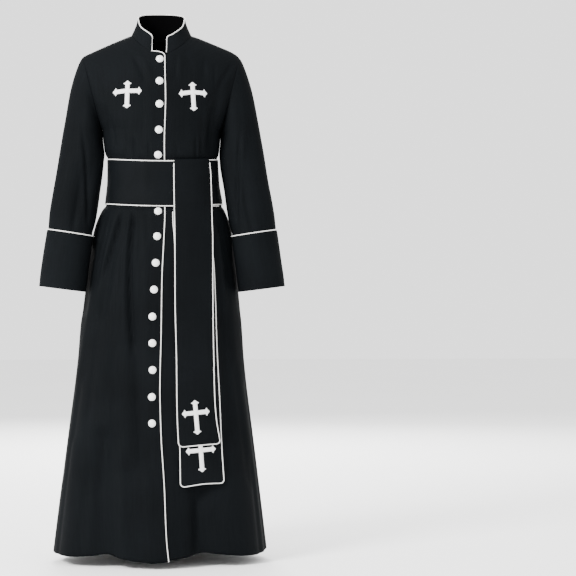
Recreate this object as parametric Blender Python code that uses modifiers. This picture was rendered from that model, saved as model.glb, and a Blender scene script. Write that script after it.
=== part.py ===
"""Clergy robe: a black button-front robe with white piping, a belt with two falls and four crosses.

Metres, +Z up. The robe faces -Y, so its right side (the wearer's right) is at -X.
The origin is where the shoulders carry it: midway between the two neck points, level with them.
Heights are given as drops below the origin, depths are measured from the plane of the side seams.
"""
import bisect
import math
from collections import namedtuple

import bpy
import bmesh
import numpy as np
from mathutils import Matrix, Vector
from mathutils.bvhtree import BVHTree

# Cloth and trim
WALL = 0.0018
BELT_WALL = 0.0022
FALL_WALL = 0.0016
CROSS_WALL = 0.0014
GAP = 0.0003
PIPING_RADIUS = 0.0014
PIPING_STEP = PIPING_RADIUS + GAP
BUTTON_RADIUS = 0.0100
BUTTON_HEIGHT = 0.0070
BUTTON_STEPS = 10

# Body
SIDE_PLANE = 0.003
ROUNDNESS = 2.2
UNDERARM_DROP = 0.258
UNDERARM_HALF = 0.158
SHOULDER_HALF = 0.2077
SHOULDER_DROP = 0.064
ARMHOLE_DEPTH = 0.058
HEM_DROP = 1.375
NECK_HALF = 0.079
NECK_FRONT = 0.0875
NECK_BACK = 0.063
SHOULDER_SOFTNESS = 0.25
# How far the left shoulder line stands higher than the right one, by share from the centre
SHOULDER_SHARES = [0.33, 0.47, 0.60, 0.75, 0.86, 0.94, 1.0]
LEFT_SHOULDER_LIFT = [0.0, 0.0022, 0.0030, 0.0042, 0.0054, 0.0042, 0.0]

# Front opening: the right front laps over the left one
LAP_WIDTH = 0.032
LAP_LIFT = 0.0024
LAP_LIFT_SKIRT = 0.0018
LAP_RISE = 0.022
LAP_MARGIN = 0.006
LAP_PAST = 0.012

# Belt: how far its middle layer stands off the body, and how far it is lifted over the falls
BELT_TOP = 0.338
BELT_BOTTOM = 0.4525
BELT_STAND = 0.0024
BELT_LIFT = 0.0027
BELT_LIFT_FROM = -0.062
BELT_LIFT_TO = 0.134
BELT_LIFT_EASE = 0.020
WAIST_DIP_FRONT = 0.0085
WAIST_DIP_BACK = 0.003

# Falls: stand-off of their middle layers, the fold over the belt and the tuck behind it
TUCK_STAND = 0.0019
OVER_BELT_STAND = 0.0081
FALL_FRONT_STAND = 0.0074
FALL_BACK_STAND = 0.0024
TUCK_LENGTH = 0.030
FALL_CORNER = 0.0095

# Collar
COLLAR_HALF = 0.0625
COLLAR_FRONT = 0.0630
COLLAR_BACK = 0.0620
COLLAR_ROUNDNESS = 2.4
COLLAR_FLARE = 1.4
COLLAR_SEAM_GAP = 0.0007
COLLAR_RIGHT_END = -19.06
COLLAR_LEFT_END = 9.98

# Cuffs
CUFF_STAND = 0.0027
CUFF_PIPING_STAND = 0.0026

# Grid densities
FRONT_COLUMNS = 10
BACK_COLUMNS = 9
SLEEVE_SIDES = 16
COLLAR_COLUMNS = 28
COLLAR_ROWS = 4
BELT_COLUMNS = 52
BELT_ROWS = 3
FALL_COLUMNS = 7
FOLD_OVER_STEPS = 5

# One row for each level of the body: half width, and depth in front of and behind the side plane
BodySection = namedtuple("BodySection", "drop centre half_width front back")
BODY = [
    BodySection(UNDERARM_DROP, 0.0000, UNDERARM_HALF, 0.1180, 0.1000),
    BodySection(0.2900, 0.0008, 0.1545, 0.1175, 0.0990),
    BodySection(0.3120, 0.0015, 0.1518, 0.1155, 0.0975),
    BodySection(0.3250, 0.0020, 0.1485, 0.1115, 0.0945),
    BodySection(0.3320, 0.0026, 0.1446, 0.1070, 0.0905),
    BodySection(BELT_TOP, 0.0030, 0.1432, 0.1065, 0.0900),
    BodySection(0.3950, 0.0048, 0.1452, 0.1060, 0.0920),
    BodySection(BELT_BOTTOM, 0.0064, 0.1526, 0.1090, 0.0975),
    BodySection(0.4585, 0.0064, 0.1532, 0.1095, 0.0980),
    BodySection(0.4660, 0.0058, 0.1593, 0.1150, 0.1035),
    BodySection(0.4800, 0.0050, 0.1664, 0.1190, 0.1100),
    BodySection(0.5200, 0.0040, 0.1780, 0.1245, 0.1205),
    BodySection(0.5700, 0.0025, 0.1885, 0.1290, 0.1300),
    BodySection(0.6300, 0.0010, 0.1980, 0.1340, 0.1380),
    BodySection(0.7000, 0.0007, 0.2072, 0.1405, 0.1465),
    BodySection(0.7800, 0.0002, 0.2148, 0.1470, 0.1540),
    BodySection(0.8600, -0.0006, 0.2210, 0.1530, 0.1600),
    BodySection(1.1000, -0.0015, 0.2510, 0.1710, 0.1780),
    BodySection(HEM_DROP, -0.0030, 0.2838, 0.1900, 0.2000),
]

# Centre lines above the underarm, from there (share 0) to the shoulder seam (share 1)
CentreSection = namedtuple("CentreSection", "share depth drop")
FRONT_CENTRE = [
    CentreSection(0.00, 0.1180, UNDERARM_DROP),
    CentreSection(0.15, 0.1190, 0.2220),
    CentreSection(0.30, 0.1165, 0.1800),
    CentreSection(0.45, 0.1085, 0.1300),
    CentreSection(0.55, 0.0990, 0.0950),
    CentreSection(0.66, 0.0825, 0.0570),
    CentreSection(0.80, 0.0500, 0.0180),
    CentreSection(0.90, 0.0245, -0.0040),
    CentreSection(1.00, 0.0000, -0.0146),
]
BACK_CENTRE = [
    CentreSection(0.00, 0.1000, UNDERARM_DROP),
    CentreSection(0.20, 0.1050, 0.2050),
    CentreSection(0.40, 0.1060, 0.1500),
    CentreSection(0.60, 0.0990, 0.0950),
    CentreSection(0.75, 0.0860, 0.0520),
    CentreSection(0.88, 0.0630, 0.0130),
    CentreSection(1.00, 0.0000, -0.0146),
]

# Folds and gathers: degrees round the body from the centre front, the wearer's left positive,
# at the fold's top, middle and bottom, then its drops, half width in degrees and depth outward
Fold = namedtuple("Fold", "top middle bottom start end width depth")
FOLDS = [
    Fold(-40, -43, -47, 0.462, 0.780, 6, -0.0080),
    Fold(-27, -16, -7, 0.462, 1.160, 5.5, -0.0085),
    Fold(-33, -30, -26, 0.800, 1.120, 6, -0.0045),
    Fold(-57, -66, -74, 0.660, 0.950, 7, 0.0040),
    Fold(-62, -63, -64, 0.462, 0.700, 7, -0.0050),
    Fold(-17, -14, -11, 1.100, HEM_DROP, 5, -0.0060),
    Fold(-38, -34, -29, 1.020, HEM_DROP, 9, -0.0220),
    Fold(-62, -58, -54, 1.050, HEM_DROP, 12, 0.0060),
    Fold(-12, -10, -6, 1.150, HEM_DROP, 13, 0.0100),
    Fold(46, 46, 45, 0.620, 1.100, 8, -0.0080),
    Fold(62, 63, 64, 0.462, 0.700, 7, -0.0060),
    Fold(-80, -79, -78, 0.545, 0.770, 11, -0.0080),
    Fold(80, 80, 80, 0.545, 0.770, 10, -0.0030),
    Fold(21, 21, 23, 1.080, HEM_DROP, 8, -0.0250),
    Fold(48, 50, 52, 1.150, HEM_DROP, 12, 0.0060),
    Fold(-28, -28, -28, 0.278, 0.333, 6, -0.0030),
    Fold(49, 48, 46, 0.278, 0.333, 7, -0.0035),
    Fold(136, 137, 138, 0.462, 0.750, 6, -0.0070),
    Fold(165, 164, 163, 0.462, 0.640, 6, -0.0055),
    Fold(-146, -149, -152, 0.462, 0.620, 6, -0.0050),
    Fold(-132, -128, -124, 0.462, 0.720, 6, -0.0070),
    Fold(-136, -133, -128, 0.900, 1.250, 8, -0.0120),
    Fold(138, 135, 133, 0.880, 1.180, 8, -0.0100),
    Fold(128, 127, 126, 0.780, 1.050, 7, 0.0040),
    Fold(180, 180, 180, 0.470, HEM_DROP, 6, -0.0080),
    Fold(-157, -158, -159, 1.050, HEM_DROP, 11, 0.0050),
    Fold(156, 157, 158, 1.050, HEM_DROP, 11, 0.0060),
    Fold(135, 136, 137, 0.278, 0.333, 7, -0.0030),
    Fold(-155, -156, -157, 0.278, 0.333, 7, -0.0030),
]
FOLD_EASE = 0.050
FOLD_EASE_SHORT = 0.020
FOLD_SHORT = 0.100

# How far the hem rises above its drop, by degrees round the body
HemPoint = namedtuple("HemPoint", "angle rise")
HEM = [
    HemPoint(-180, 0.000), HemPoint(-145, 0.001), HemPoint(-130, 0.008), HemPoint(-117, 0.017),
    HemPoint(-104, 0.022), HemPoint(-90, 0.0105), HemPoint(-75, 0.0055), HemPoint(-56, 0.0054),
    HemPoint(-38, 0.010), HemPoint(-29, 0.0146), HemPoint(-17, 0.004), HemPoint(-6, -0.0016),
    HemPoint(4, 0.003), HemPoint(11, 0.0085), HemPoint(23, 0.0164), HemPoint(37, 0.010),
    HemPoint(46, 0.006), HemPoint(60, 0.0044), HemPoint(75, 0.006), HemPoint(90, 0.0105),
    HemPoint(104, 0.020), HemPoint(117, 0.016), HemPoint(130, 0.007), HemPoint(145, 0.001),
    HemPoint(180, 0.000),
]
HEM_RISE_FROM = 1.00

# Centre of the piping on the right front's edge
EdgePoint = namedtuple("EdgePoint", "drop x")
FRONT_EDGE = [
    EdgePoint(0.000, 0.0092), EdgePoint(0.079, 0.0092), EdgePoint(0.185, 0.0110),
    EdgePoint(0.290, 0.0080), EdgePoint(0.473, 0.0091), EdgePoint(0.551, 0.0062),
    EdgePoint(0.655, 0.0016), EdgePoint(0.784, -0.0003), EdgePoint(0.939, -0.0036),
    EdgePoint(1.041, -0.0010), EdgePoint(1.169, 0.0067), EdgePoint(1.322, 0.0128),
    EdgePoint(HEM_DROP, 0.0180),
]

# The seam between bodice and skirt, under the belt
WAIST_SEAM = 0.395

# Levels of the panels' rows: drops below the underarm, shares above it
LOWER_ROWS = [
    HEM_DROP, 1.300, 1.220, 1.130, 1.040, 0.950, 0.860, 0.780, 0.700, 0.630, 0.570, 0.520,
    0.480, 0.466, 0.4585, BELT_BOTTOM, WAIST_SEAM, BELT_TOP, 0.332, 0.325, 0.312, 0.290,
]
FRONT_SHARES = [
    0.0, 0.10, 0.20, 0.30, 0.40, 0.49, 0.56, 0.60, 0.62, 0.635, 0.645, 0.66, 0.69, 0.74,
    0.80, 0.87, 0.94, 1.0,
]
BACK_SHARES = [0.0, 0.12, 0.25, 0.38, 0.50, 0.62, 0.73, 0.82, 0.88, 0.915, 0.95, 0.98, 1.0]

# Where each front's top edge lies beside the notch, by share
NotchPoint = namedtuple("NotchPoint", "share x")
NOTCH_RIGHT = [
    NotchPoint(0.60, 0.0075), NotchPoint(0.62, 0.0073), NotchPoint(0.635, 0.0045),
    NotchPoint(0.645, -0.0020), NotchPoint(0.66, -0.0265),
]
NOTCH_LEFT = [
    NotchPoint(0.56, -0.0245), NotchPoint(0.60, -0.0150), NotchPoint(0.62, 0.0000),
    NotchPoint(0.635, 0.0137), NotchPoint(0.66, 0.0262),
]

# Sleeve sections from the armhole down: outer and inner line, depth and how far forward they sit
SleeveSection = namedtuple("SleeveSection", "outer_x outer_drop inner_x inner_drop depth forward")
SLEEVE = [
    SleeveSection(SHOULDER_HALF, SHOULDER_DROP, UNDERARM_HALF, UNDERARM_DROP, ARMHOLE_DEPTH, 0.0),
    SleeveSection(0.2160, 0.078, 0.1584, 0.267, 0.0600, 0.000),
    SleeveSection(0.2290, 0.112, 0.1580, 0.279, 0.0610, 0.001),
    SleeveSection(0.2400, 0.153, 0.1565, 0.293, 0.0605, 0.003),
    SleeveSection(0.2495, 0.202, 0.1538, 0.308, 0.0590, 0.006),
    SleeveSection(0.2575, 0.248, 0.1516, 0.324, 0.0570, 0.009),
    SleeveSection(0.2650, 0.297, 0.1512, 0.344, 0.0555, 0.013),
    SleeveSection(0.2728, 0.345, 0.1534, 0.374, 0.0540, 0.018),
    SleeveSection(0.2802, 0.394, 0.1583, 0.414, 0.0525, 0.024),
    SleeveSection(0.2876, 0.440, 0.1642, 0.456, 0.0515, 0.030),
    SleeveSection(0.2946, 0.487, 0.1724, 0.503, 0.0505, 0.036),
    SleeveSection(0.2966, 0.5140, 0.1790, 0.5300, 0.0500, 0.0390),
    SleeveSection(0.2970, 0.5225, 0.1810, 0.5395, 0.0498, 0.0400),
    SleeveSection(0.2981, 0.5350, 0.1824, 0.5520, 0.0498, 0.0406),
]
CUFF = [
    SleeveSection(0.2968, 0.523, 0.1806, 0.5405, 0.0500, 0.040),
    SleeveSection(0.3034, 0.565, 0.1863, 0.5820, 0.0505, 0.042),
    SleeveSection(0.3100, 0.610, 0.1925, 0.6260, 0.0510, 0.043),
    SleeveSection(0.3150, 0.645, 0.1965, 0.6600, 0.0512, 0.043),
    SleeveSection(0.3178, 0.671, 0.1995, 0.6860, 0.0512, 0.043),
]
SWING_LEFT = 0.0055

SleeveFold = namedtuple("SleeveFold", "around first last width depth")
SLEEVE_FOLDS = [
    SleeveFold(105, 5.0, 11.0, 22, -0.0050),
    SleeveFold(60, 2.0, 8.0, 18, -0.0030),
    SleeveFold(250, 4.0, 10.5, 24, -0.0050),
    SleeveFold(300, 1.5, 6.0, 20, -0.0030),
]

# Falls: piping lines at the two long edges, by drop
FallSection = namedtuple("FallSection", "drop left right")
FALL_FRONT = [
    FallSection(0.336, 0.0309, 0.1200), FallSection(0.370, 0.0310, 0.1230),
    FallSection(0.448, 0.0321, 0.1259), FallSection(0.551, 0.0337, 0.1295),
    FallSection(0.706, 0.0342, 0.1301), FallSection(0.861, 0.0376, 0.1322),
    FallSection(0.964, 0.0386, 0.1348), FallSection(1.015, 0.0398, 0.1387),
    FallSection(1.080, 0.0430, 0.1492),
]
FALL_BACK = [
    FallSection(0.430, 0.0290, 0.1180), FallSection(0.480, 0.0290, 0.1215),
    FallSection(0.550, 0.0335, 0.1290), FallSection(0.629, 0.0350, 0.1360),
    FallSection(0.706, 0.0360, 0.1390), FallSection(0.836, 0.0395, 0.1430),
    FallSection(0.964, 0.0430, 0.1494), FallSection(1.092, 0.0467, 0.1548),
    FallSection(1.186, 0.0480, 0.1608),
]
FALL_FRONT_DROPS = [
    0.352, 0.376, 0.402, 0.430, 0.4525, 0.4585, 0.466, 0.480, 0.508, 0.550, 0.610, 0.670, 0.730,
    0.790, 0.850, 0.910, 0.965, 1.020, 1.055, 1.0705, 1.0770, 1.0805,
]
FALL_BACK_DROPS = [
    0.428, 0.440, 0.4525, 0.4585, 0.466, 0.480, 0.508, 0.550, 0.610, 0.670, 0.730, 0.790, 0.850,
    0.910, 0.970, 1.030, 1.090, 1.140, 1.1765, 1.1830, 1.1865,
]
FALL_SLANT = -0.005

# Front buttons: drop and x of the centre; the one under the belt doesn't show and is left out
ButtonPlace = namedtuple("ButtonPlace", "drop x")
FRONT_BUTTONS = [
    ButtonPlace(0.0800, -0.0044), ButtonPlace(0.1384, -0.0050), ButtonPlace(0.1985, -0.0052),
    ButtonPlace(0.2653, -0.0068), ButtonPlace(0.3290, -0.0088), ButtonPlace(0.4775, -0.0086),
    ButtonPlace(0.5418, -0.0112), ButtonPlace(0.6108, -0.0149), ButtonPlace(0.6800, -0.0195),
    ButtonPlace(0.7496, -0.0235), ButtonPlace(0.8180, -0.0236), ButtonPlace(0.8868, -0.0228),
    ButtonPlace(0.9560, -0.0242), ButtonPlace(1.0236, -0.0236),
]
CuffButton = namedtuple("CuffButton", "side around share")
CUFF_BUTTONS = [
    CuffButton(-1, 295, 0.14), CuffButton(-1, 295, 0.45), CuffButton(-1, 295, 0.78),
    CuffButton(1, 311, 0.14), CuffButton(1, 311, 0.45), CuffButton(1, 311, 0.77),
]

# Crosses: centre of the bar, arm lengths and lean in degrees, seen from the front
CrossPlace = namedtuple("CrossPlace", "name x drop side up down lean")
CROSSES = [
    CrossPlace("cross_chest_right", -0.0885, 0.1620, 0.0370, 0.0260, 0.0470, -1.9),
    CrossPlace("cross_chest_left", 0.0818, 0.1660, 0.0370, 0.0275, 0.0480, 2.1),
    CrossPlace("cross_fall_front", 0.0880, 0.9966, 0.0350, 0.0320, 0.0555, 4.8),
    CrossPlace("cross_fall_back", 0.1008, 1.0930, 0.0380, 0.0320, 0.0555, 4.0),
]
ARM_HALF = 0.0052
BARB_HALF = 0.0098
BARB_BACK = 0.0062
NECK_OF_BARB = 0.0088
TIP_SHOULDER = 0.0030
TIP_SHOULDER_HALF = 0.0042
CROSS_STAND = 0.0006

# Colours are linear: very dark neutral cloth, off-white trim
BLACK_CLOTH = (0.0095, 0.0095, 0.0110)
BLACK_SATIN = (0.0080, 0.0080, 0.0095)
WHITE_TRIM = (0.82, 0.82, 0.80)
WHITE_BUTTON = (0.86, 0.86, 0.85)


def clear_scene():
    for item in list(bpy.data.objects):
        bpy.data.objects.remove(item, do_unlink=True)


def smoothstep(value):
    value = min(max(value, 0.0), 1.0)
    return value * value * (3.0 - 2.0 * value)


def smooth_curve(knots, values):
    """A smooth function through the knots that never overshoots them."""
    knots = [float(k) for k in knots]
    values = [float(v) for v in values]
    steps = [b - a for a, b in zip(knots, knots[1:])]
    slopes = [(b - a) / s for a, b, s in zip(values, values[1:], steps)]
    tangents = [slopes[0]] + [0.0] * (len(knots) - 2) + [slopes[-1]]
    for i in range(1, len(knots) - 1):
        if slopes[i - 1] * slopes[i] > 0.0:
            first = 2.0 * steps[i] + steps[i - 1]
            second = steps[i] + 2.0 * steps[i - 1]
            tangents[i] = (first + second) / (first / slopes[i - 1] + second / slopes[i])

    def value(at):
        at = min(max(at, knots[0]), knots[-1])
        i = min(bisect.bisect_right(knots, at) - 1, len(steps) - 1)
        t = (at - knots[i]) / steps[i]
        return ((1 + 2 * t) * (1 - t) ** 2 * values[i] + t * (1 - t) ** 2 * steps[i] * tangents[i]
                + t * t * (3 - 2 * t) * values[i + 1] + t * t * (t - 1) * steps[i] * tangents[i + 1])

    return value


def column_curve(table, key, column):
    return smooth_curve([getattr(row, key) for row in table], [getattr(row, column) for row in table])


BODY_CENTRE = column_curve(BODY, "drop", "centre")
BODY_HALF = column_curve(BODY, "drop", "half_width")
BODY_FRONT = column_curve(BODY, "drop", "front")
BODY_BACK = column_curve(BODY, "drop", "back")
CENTRE_DEPTH = {
    False: column_curve(FRONT_CENTRE, "share", "depth"),
    True: column_curve(BACK_CENTRE, "share", "depth"),
}
CENTRE_DROP = {
    False: column_curve(FRONT_CENTRE, "share", "drop"),
    True: column_curve(BACK_CENTRE, "share", "drop"),
}
HEM_RISE = column_curve(HEM, "angle", "rise")
EDGE_X = column_curve(FRONT_EDGE, "drop", "x")
WAIST_WEIGHT = smooth_curve([UNDERARM_DROP, 0.325, 0.466, 0.620], [0.0, 1.0, 1.0, 0.0])


def fold_depth(angle, drop):
    """How far the folds move the cloth outward at an angle in degrees and a drop."""
    total = 0.0
    for fold in FOLDS:
        share = (drop - fold.start) / (fold.end - fold.start)
        if not 0.0 < share <= 1.0:
            continue
        centre = (fold.top * (2 * share - 1) * (share - 1) + fold.middle * 4 * share * (1 - share)
                  + fold.bottom * share * (2 * share - 1))
        away = (angle - centre + 180.0) % 360.0 - 180.0
        if abs(away) > 3.0 * fold.width:
            continue
        ease = FOLD_EASE_SHORT if fold.end - fold.start < FOLD_SHORT else FOLD_EASE
        strength = smoothstep((drop - fold.start) / ease)
        if fold.end < HEM_DROP:
            strength *= smoothstep((fold.end - drop) / ease)
        total += fold.depth * strength * math.exp(-(away / fold.width) ** 2)
    return total


def waist_dip(angle, drop):
    """How far the belt line dips at the centre front and back."""
    facing = math.cos(angle)
    deepest = WAIST_DIP_FRONT if facing > 0 else WAIST_DIP_BACK
    return deepest * facing * facing * WAIST_WEIGHT(drop)


def body_ring(angle, drop, folded=True):
    """A point of the body's outer face below the underarm; the angle is in radians."""
    sine, cosine = math.sin(angle), math.cos(angle)
    power = 2.0 / ROUNDNESS
    across = math.copysign(abs(sine) ** power, sine)
    depth = BODY_FRONT(drop) if cosine > 0 else BODY_BACK(drop)
    along = math.copysign(abs(cosine) ** power, cosine)
    degrees = math.degrees(angle)
    out = fold_depth(degrees, drop) if folded else 0.0
    rise = HEM_RISE((degrees + 180.0) % 360.0 - 180.0)
    rise *= smoothstep((drop - HEM_RISE_FROM) / (HEM_DROP - HEM_RISE_FROM))
    return np.array([
        BODY_CENTRE(drop) + BODY_HALF(drop) * across + out * sine,
        SIDE_PLANE - depth * along - out * cosine,
        -drop - waist_dip(angle, drop) + rise,
    ])


def armhole_point(share):
    """The armhole seam from the underarm (share 0) to the shoulder tip (share 1): x, depth, drop."""
    turn = 0.5 - 0.5 * math.cos(math.pi * share)
    return (UNDERARM_HALF + (SHOULDER_HALF - UNDERARM_HALF) * turn,
            ARMHOLE_DEPTH * math.sin(math.pi * share),
            UNDERARM_DROP + (SHOULDER_DROP - UNDERARM_DROP) * turn)


def across_shape(position, share):
    """Blend from the rounded ring at the underarm to the straight shoulder seam."""
    fullness = 1.0 - share ** 1.8
    quarter = position * math.pi / 2.0
    power = 2.0 / ROUNDNESS
    soft = math.hypot(position, SHOULDER_SOFTNESS) - SHOULDER_SOFTNESS
    soft /= math.hypot(1.0, SHOULDER_SOFTNESS) - SHOULDER_SOFTNESS
    wide = position + (math.sin(quarter) ** power - position) * fullness
    deep = soft + (1.0 - max(math.cos(quarter), 0.0) ** power - soft) * fullness
    return wide, deep, soft


LEFT_SHOULDER = smooth_curve(SHOULDER_SHARES, LEFT_SHOULDER_LIFT)


def skin(position, level, back=False):
    """The body's outer face. Position runs -1 to 1 from the right side to the left one.

    A level up to 0 is a height below the underarm in metres, a level above 0 is the share
    of the way from the underarm to the shoulder seam.
    """
    if level <= 0.0:
        angle = position * math.pi / 2.0
        if back:
            angle = math.pi - angle
        return body_ring(angle, UNDERARM_DROP - level)
    level = min(level, 1.0)
    outer_x, outer_depth, outer_drop = armhole_point(level)
    centre_depth = CENTRE_DEPTH[back](level)
    centre_drop = CENTRE_DROP[back](level)
    wide, deep, soft = across_shape(abs(position), level)
    depth = centre_depth + (outer_depth - centre_depth) * deep
    lift = LEFT_SHOULDER(position) * smoothstep((level - 0.45) / 0.5)
    return np.array([
        math.copysign(outer_x * wide, position),
        SIDE_PLANE + (depth if back else -depth),
        lift - (centre_drop + (outer_drop - centre_drop) * soft),
    ])


def skin_normal(position, level, back=False):
    step = 0.004
    above = min(level + step, 1.0)
    across = skin(position + step, level, back) - skin(position - step, level, back)
    up = skin(position, above, back) - skin(position, level - step, back)
    normal = np.cross(across, up)
    normal /= np.linalg.norm(normal)
    return -normal if back else normal


def position_at(x, level, back=False):
    """The position across the body at which the unfolded face has this x."""
    if level <= 0.0:
        drop = UNDERARM_DROP - level
        ratio = (x - BODY_CENTRE(drop)) / BODY_HALF(drop)
        turn = math.asin(min(abs(ratio), 1.0) ** (ROUNDNESS / 2.0))
        return math.copysign(turn / (math.pi / 2.0), ratio)
    outer_x = armhole_point(level)[0]
    low, high = 0.0, 1.0
    for _ in range(40):
        middle = (low + high) / 2.0
        if outer_x * across_shape(middle, level)[0] < abs(x):
            low = middle
        else:
            high = middle
    return math.copysign((low + high) / 2.0, x)


def level_of_drop(drop):
    """The level whose centre front lies at this drop."""
    low, high = UNDERARM_DROP - HEM_DROP, 1.0
    for _ in range(40):
        middle = (low + high) / 2.0
        if -skin(0.0, middle)[2] > drop:
            low = middle
        else:
            high = middle
    return (low + high) / 2.0


def centre_drop_of(level):
    return UNDERARM_DROP - level if level <= 0.0 else CENTRE_DROP[False](level)


def lap_lift(x, level):
    """How far the right front is lifted off the left one under it."""
    under_edge = EDGE_X(centre_drop_of(level)) - PIPING_STEP - LAP_WIDTH
    start = under_edge - LAP_MARGIN - LAP_RISE
    lift = LAP_LIFT + LAP_LIFT_SKIRT * smoothstep((centre_drop_of(level) - 0.5) / 0.4)
    return lift * smoothstep((x - start) / LAP_RISE)


def neck_x(level, back=False):
    reach = NECK_BACK if back else NECK_FRONT
    cosine = min(CENTRE_DEPTH[back](level) / reach, 1.0)
    return NECK_HALF * math.sqrt(1.0 - cosine * cosine)


def front_inner_x(side, level):
    """Where a front's inner boundary lies: its edge, then the notch, then the neckline."""
    notch = NOTCH_RIGHT if side < 0 else NOTCH_LEFT
    if level > notch[-1].share:
        return side * neck_x(level)
    if level >= notch[0].share:
        return column_curve(notch, "share", "x")(level)
    edge = EDGE_X(centre_drop_of(level)) - PIPING_STEP
    return edge if side < 0 else edge - LAP_WIDTH


def front_positions(side, level):
    """Positions of a front's columns, from its inner boundary out to the side."""
    edge = EDGE_X(centre_drop_of(level)) - PIPING_STEP
    inner = front_inner_x(side, level)
    if side < 0:
        last = min(edge - LAP_WIDTH, inner - LAP_WIDTH / 3.0)
    else:
        last = max(edge + LAP_PAST, inner + LAP_WIDTH / 3.0)
    start = [position_at(x, level) for x in (inner, (inner + last) / 2.0, last)]
    run = [start[-1] + (side - start[-1]) * k / FRONT_COLUMNS for k in range(1, FRONT_COLUMNS + 1)]
    return start + run


def levels(shares):
    return [UNDERARM_DROP - drop for drop in LOWER_ROWS] + list(shares)


def keep_side(point, origin, normal, least):
    """Move a point along a seam plane's normal until it lies at least this far past the plane."""
    distance = float(np.dot(point - origin, normal))
    if distance < least:
        point += normal * (least - distance)


ARMHOLE_ORIGIN = np.array([UNDERARM_HALF, 0.0, -UNDERARM_DROP])
_ARMHOLE_RUN = np.array([SHOULDER_HALF - UNDERARM_HALF, 0.0, UNDERARM_DROP - SHOULDER_DROP])
ARMHOLE_NORMAL = np.array([_ARMHOLE_RUN[2], 0.0, -_ARMHOLE_RUN[0]]) / np.linalg.norm(_ARMHOLE_RUN)


def trim_panel(grid, rows, side, back):
    """Hold a panel's border clear of the side, shoulder, armhole and centre back seam planes."""
    facing = np.array([0.0, 1.0 if back else -1.0, 0.0])
    side_origin = np.array([0.0, SIDE_PLANE, 0.0])
    armhole_origin = ARMHOLE_ORIGIN * np.array([side, 1.0, 1.0])
    armhole_normal = ARMHOLE_NORMAL * np.array([side, 1.0, 1.0])
    for i, level in enumerate(rows):
        if level <= 0.0 or level >= 1.0:
            keep_side(grid[i, -1], side_origin, facing, GAP / 2.0)
        else:
            keep_side(grid[i, -1], armhole_origin, -armhole_normal, 0.0)
        if back and level < BACK_SHARES[8]:
            keep_side(grid[i, 0], np.zeros(3), np.array([float(side), 0.0, 0.0]), GAP / 2.0)
    for j in range(grid.shape[1]):
        keep_side(grid[-1, j], side_origin, facing, GAP / 2.0)
    keep_side(grid[-1, -1], armhole_origin, -armhole_normal, 0.0)


def front_surface(side):
    rows = levels(FRONT_SHARES)
    grid, normals = [], []
    for level in rows:
        line, line_normals = [], []
        for position in front_positions(side, level):
            point = skin(position, level)
            normal = skin_normal(position, level)
            if side < 0:
                point = point + normal * lap_lift(point[0], level)
            line.append(point)
            line_normals.append(normal)
        grid.append(line)
        normals.append(line_normals)
    return rows, np.array(grid), np.array(normals)


def back_surface(side):
    rows = levels(BACK_SHARES)
    seam_share = BACK_SHARES[8]
    grid, normals = [], []
    for level in rows:
        inner = position_at(neck_x(level, True), level, True) if level > seam_share else 0.0
        positions = [side * (inner + (1.0 - inner) * k / BACK_COLUMNS) for k in range(BACK_COLUMNS + 1)]
        positions[0] = positions[0] or side * 1e-6
        grid.append([skin(position, level, True) for position in positions])
        normals.append([skin_normal(position, level, True) for position in positions])
    return rows, np.array(grid), np.array(normals)


def grid_triangles(rows, columns, closed, points):
    """Two triangles for each cell, split along the shorter diagonal."""
    triangles = []
    for i in range(rows - 1):
        for j in range(columns if closed else columns - 1):
            k = (j + 1) % columns
            a, b, c, d = i * columns + j, i * columns + k, (i + 1) * columns + k, (i + 1) * columns + j
            if np.linalg.norm(points[a] - points[c]) <= np.linalg.norm(points[b] - points[d]):
                triangles += [(a, b, c), (a, c, d)]
            else:
                triangles += [(a, b, d), (b, c, d)]
    return triangles


def border_loops(rows, columns, closed):
    if closed:
        top = [(rows - 1) * columns + j for j in range(columns)]
        return [list(range(columns)), top]
    bottom = list(range(columns))
    right = [i * columns + columns - 1 for i in range(1, rows)]
    top = [(rows - 1) * columns + j for j in range(columns - 2, -1, -1)]
    left = [i * columns for i in range(rows - 2, 0, -1)]
    return [bottom + right + top + left]


def add_object(name, mesh, colour, roughness):
    item = bpy.data.objects.new(name, mesh)
    PARTS.objects.link(item)
    mesh.materials.append(material(name, colour, roughness))
    return item


def material(name, colour, roughness):
    finish = bpy.data.materials.new(name + "_finish")
    finish.use_nodes = True
    shader = finish.node_tree.nodes["Principled BSDF"]
    shader.inputs["Base Color"].default_value = (*colour, 1.0)
    shader.inputs["Roughness"].default_value = roughness
    shader.inputs["Metallic"].default_value = 0.0
    finish.diffuse_color = (*colour, 1.0)
    return finish


def lofted_wall(name, outer, inner, closed, colour, roughness):
    """A closed cloth wall between an outer and an inner grid, mitred at its seams."""
    rows, columns = outer.shape[:2]
    count = rows * columns
    flat_outer, flat_inner = outer.reshape(-1, 3), inner.reshape(-1, 3)
    triangles = grid_triangles(rows, columns, closed, flat_outer)
    faces = list(triangles) + [(c + count, b + count, a + count) for a, b, c in triangles]
    for loop in border_loops(rows, columns, closed):
        for a, b in zip(loop, loop[1:] + loop[:1]):
            faces += [(a, b, b + count), (a, b + count, a + count)]
    mesh = bpy.data.meshes.new(name)
    mesh.from_pydata(np.vstack([flat_outer, flat_inner]).tolist(), [], faces)
    face_outward(mesh)
    mesh.shade_smooth()
    mesh.set_sharp_from_angle(angle=math.radians(40))
    return add_object(name, mesh, colour, roughness)


def face_outward(mesh):
    work = bmesh.new()
    work.from_mesh(mesh)
    bmesh.ops.recalc_face_normals(work, faces=work.faces)
    work.to_mesh(mesh)
    work.free()


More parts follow.
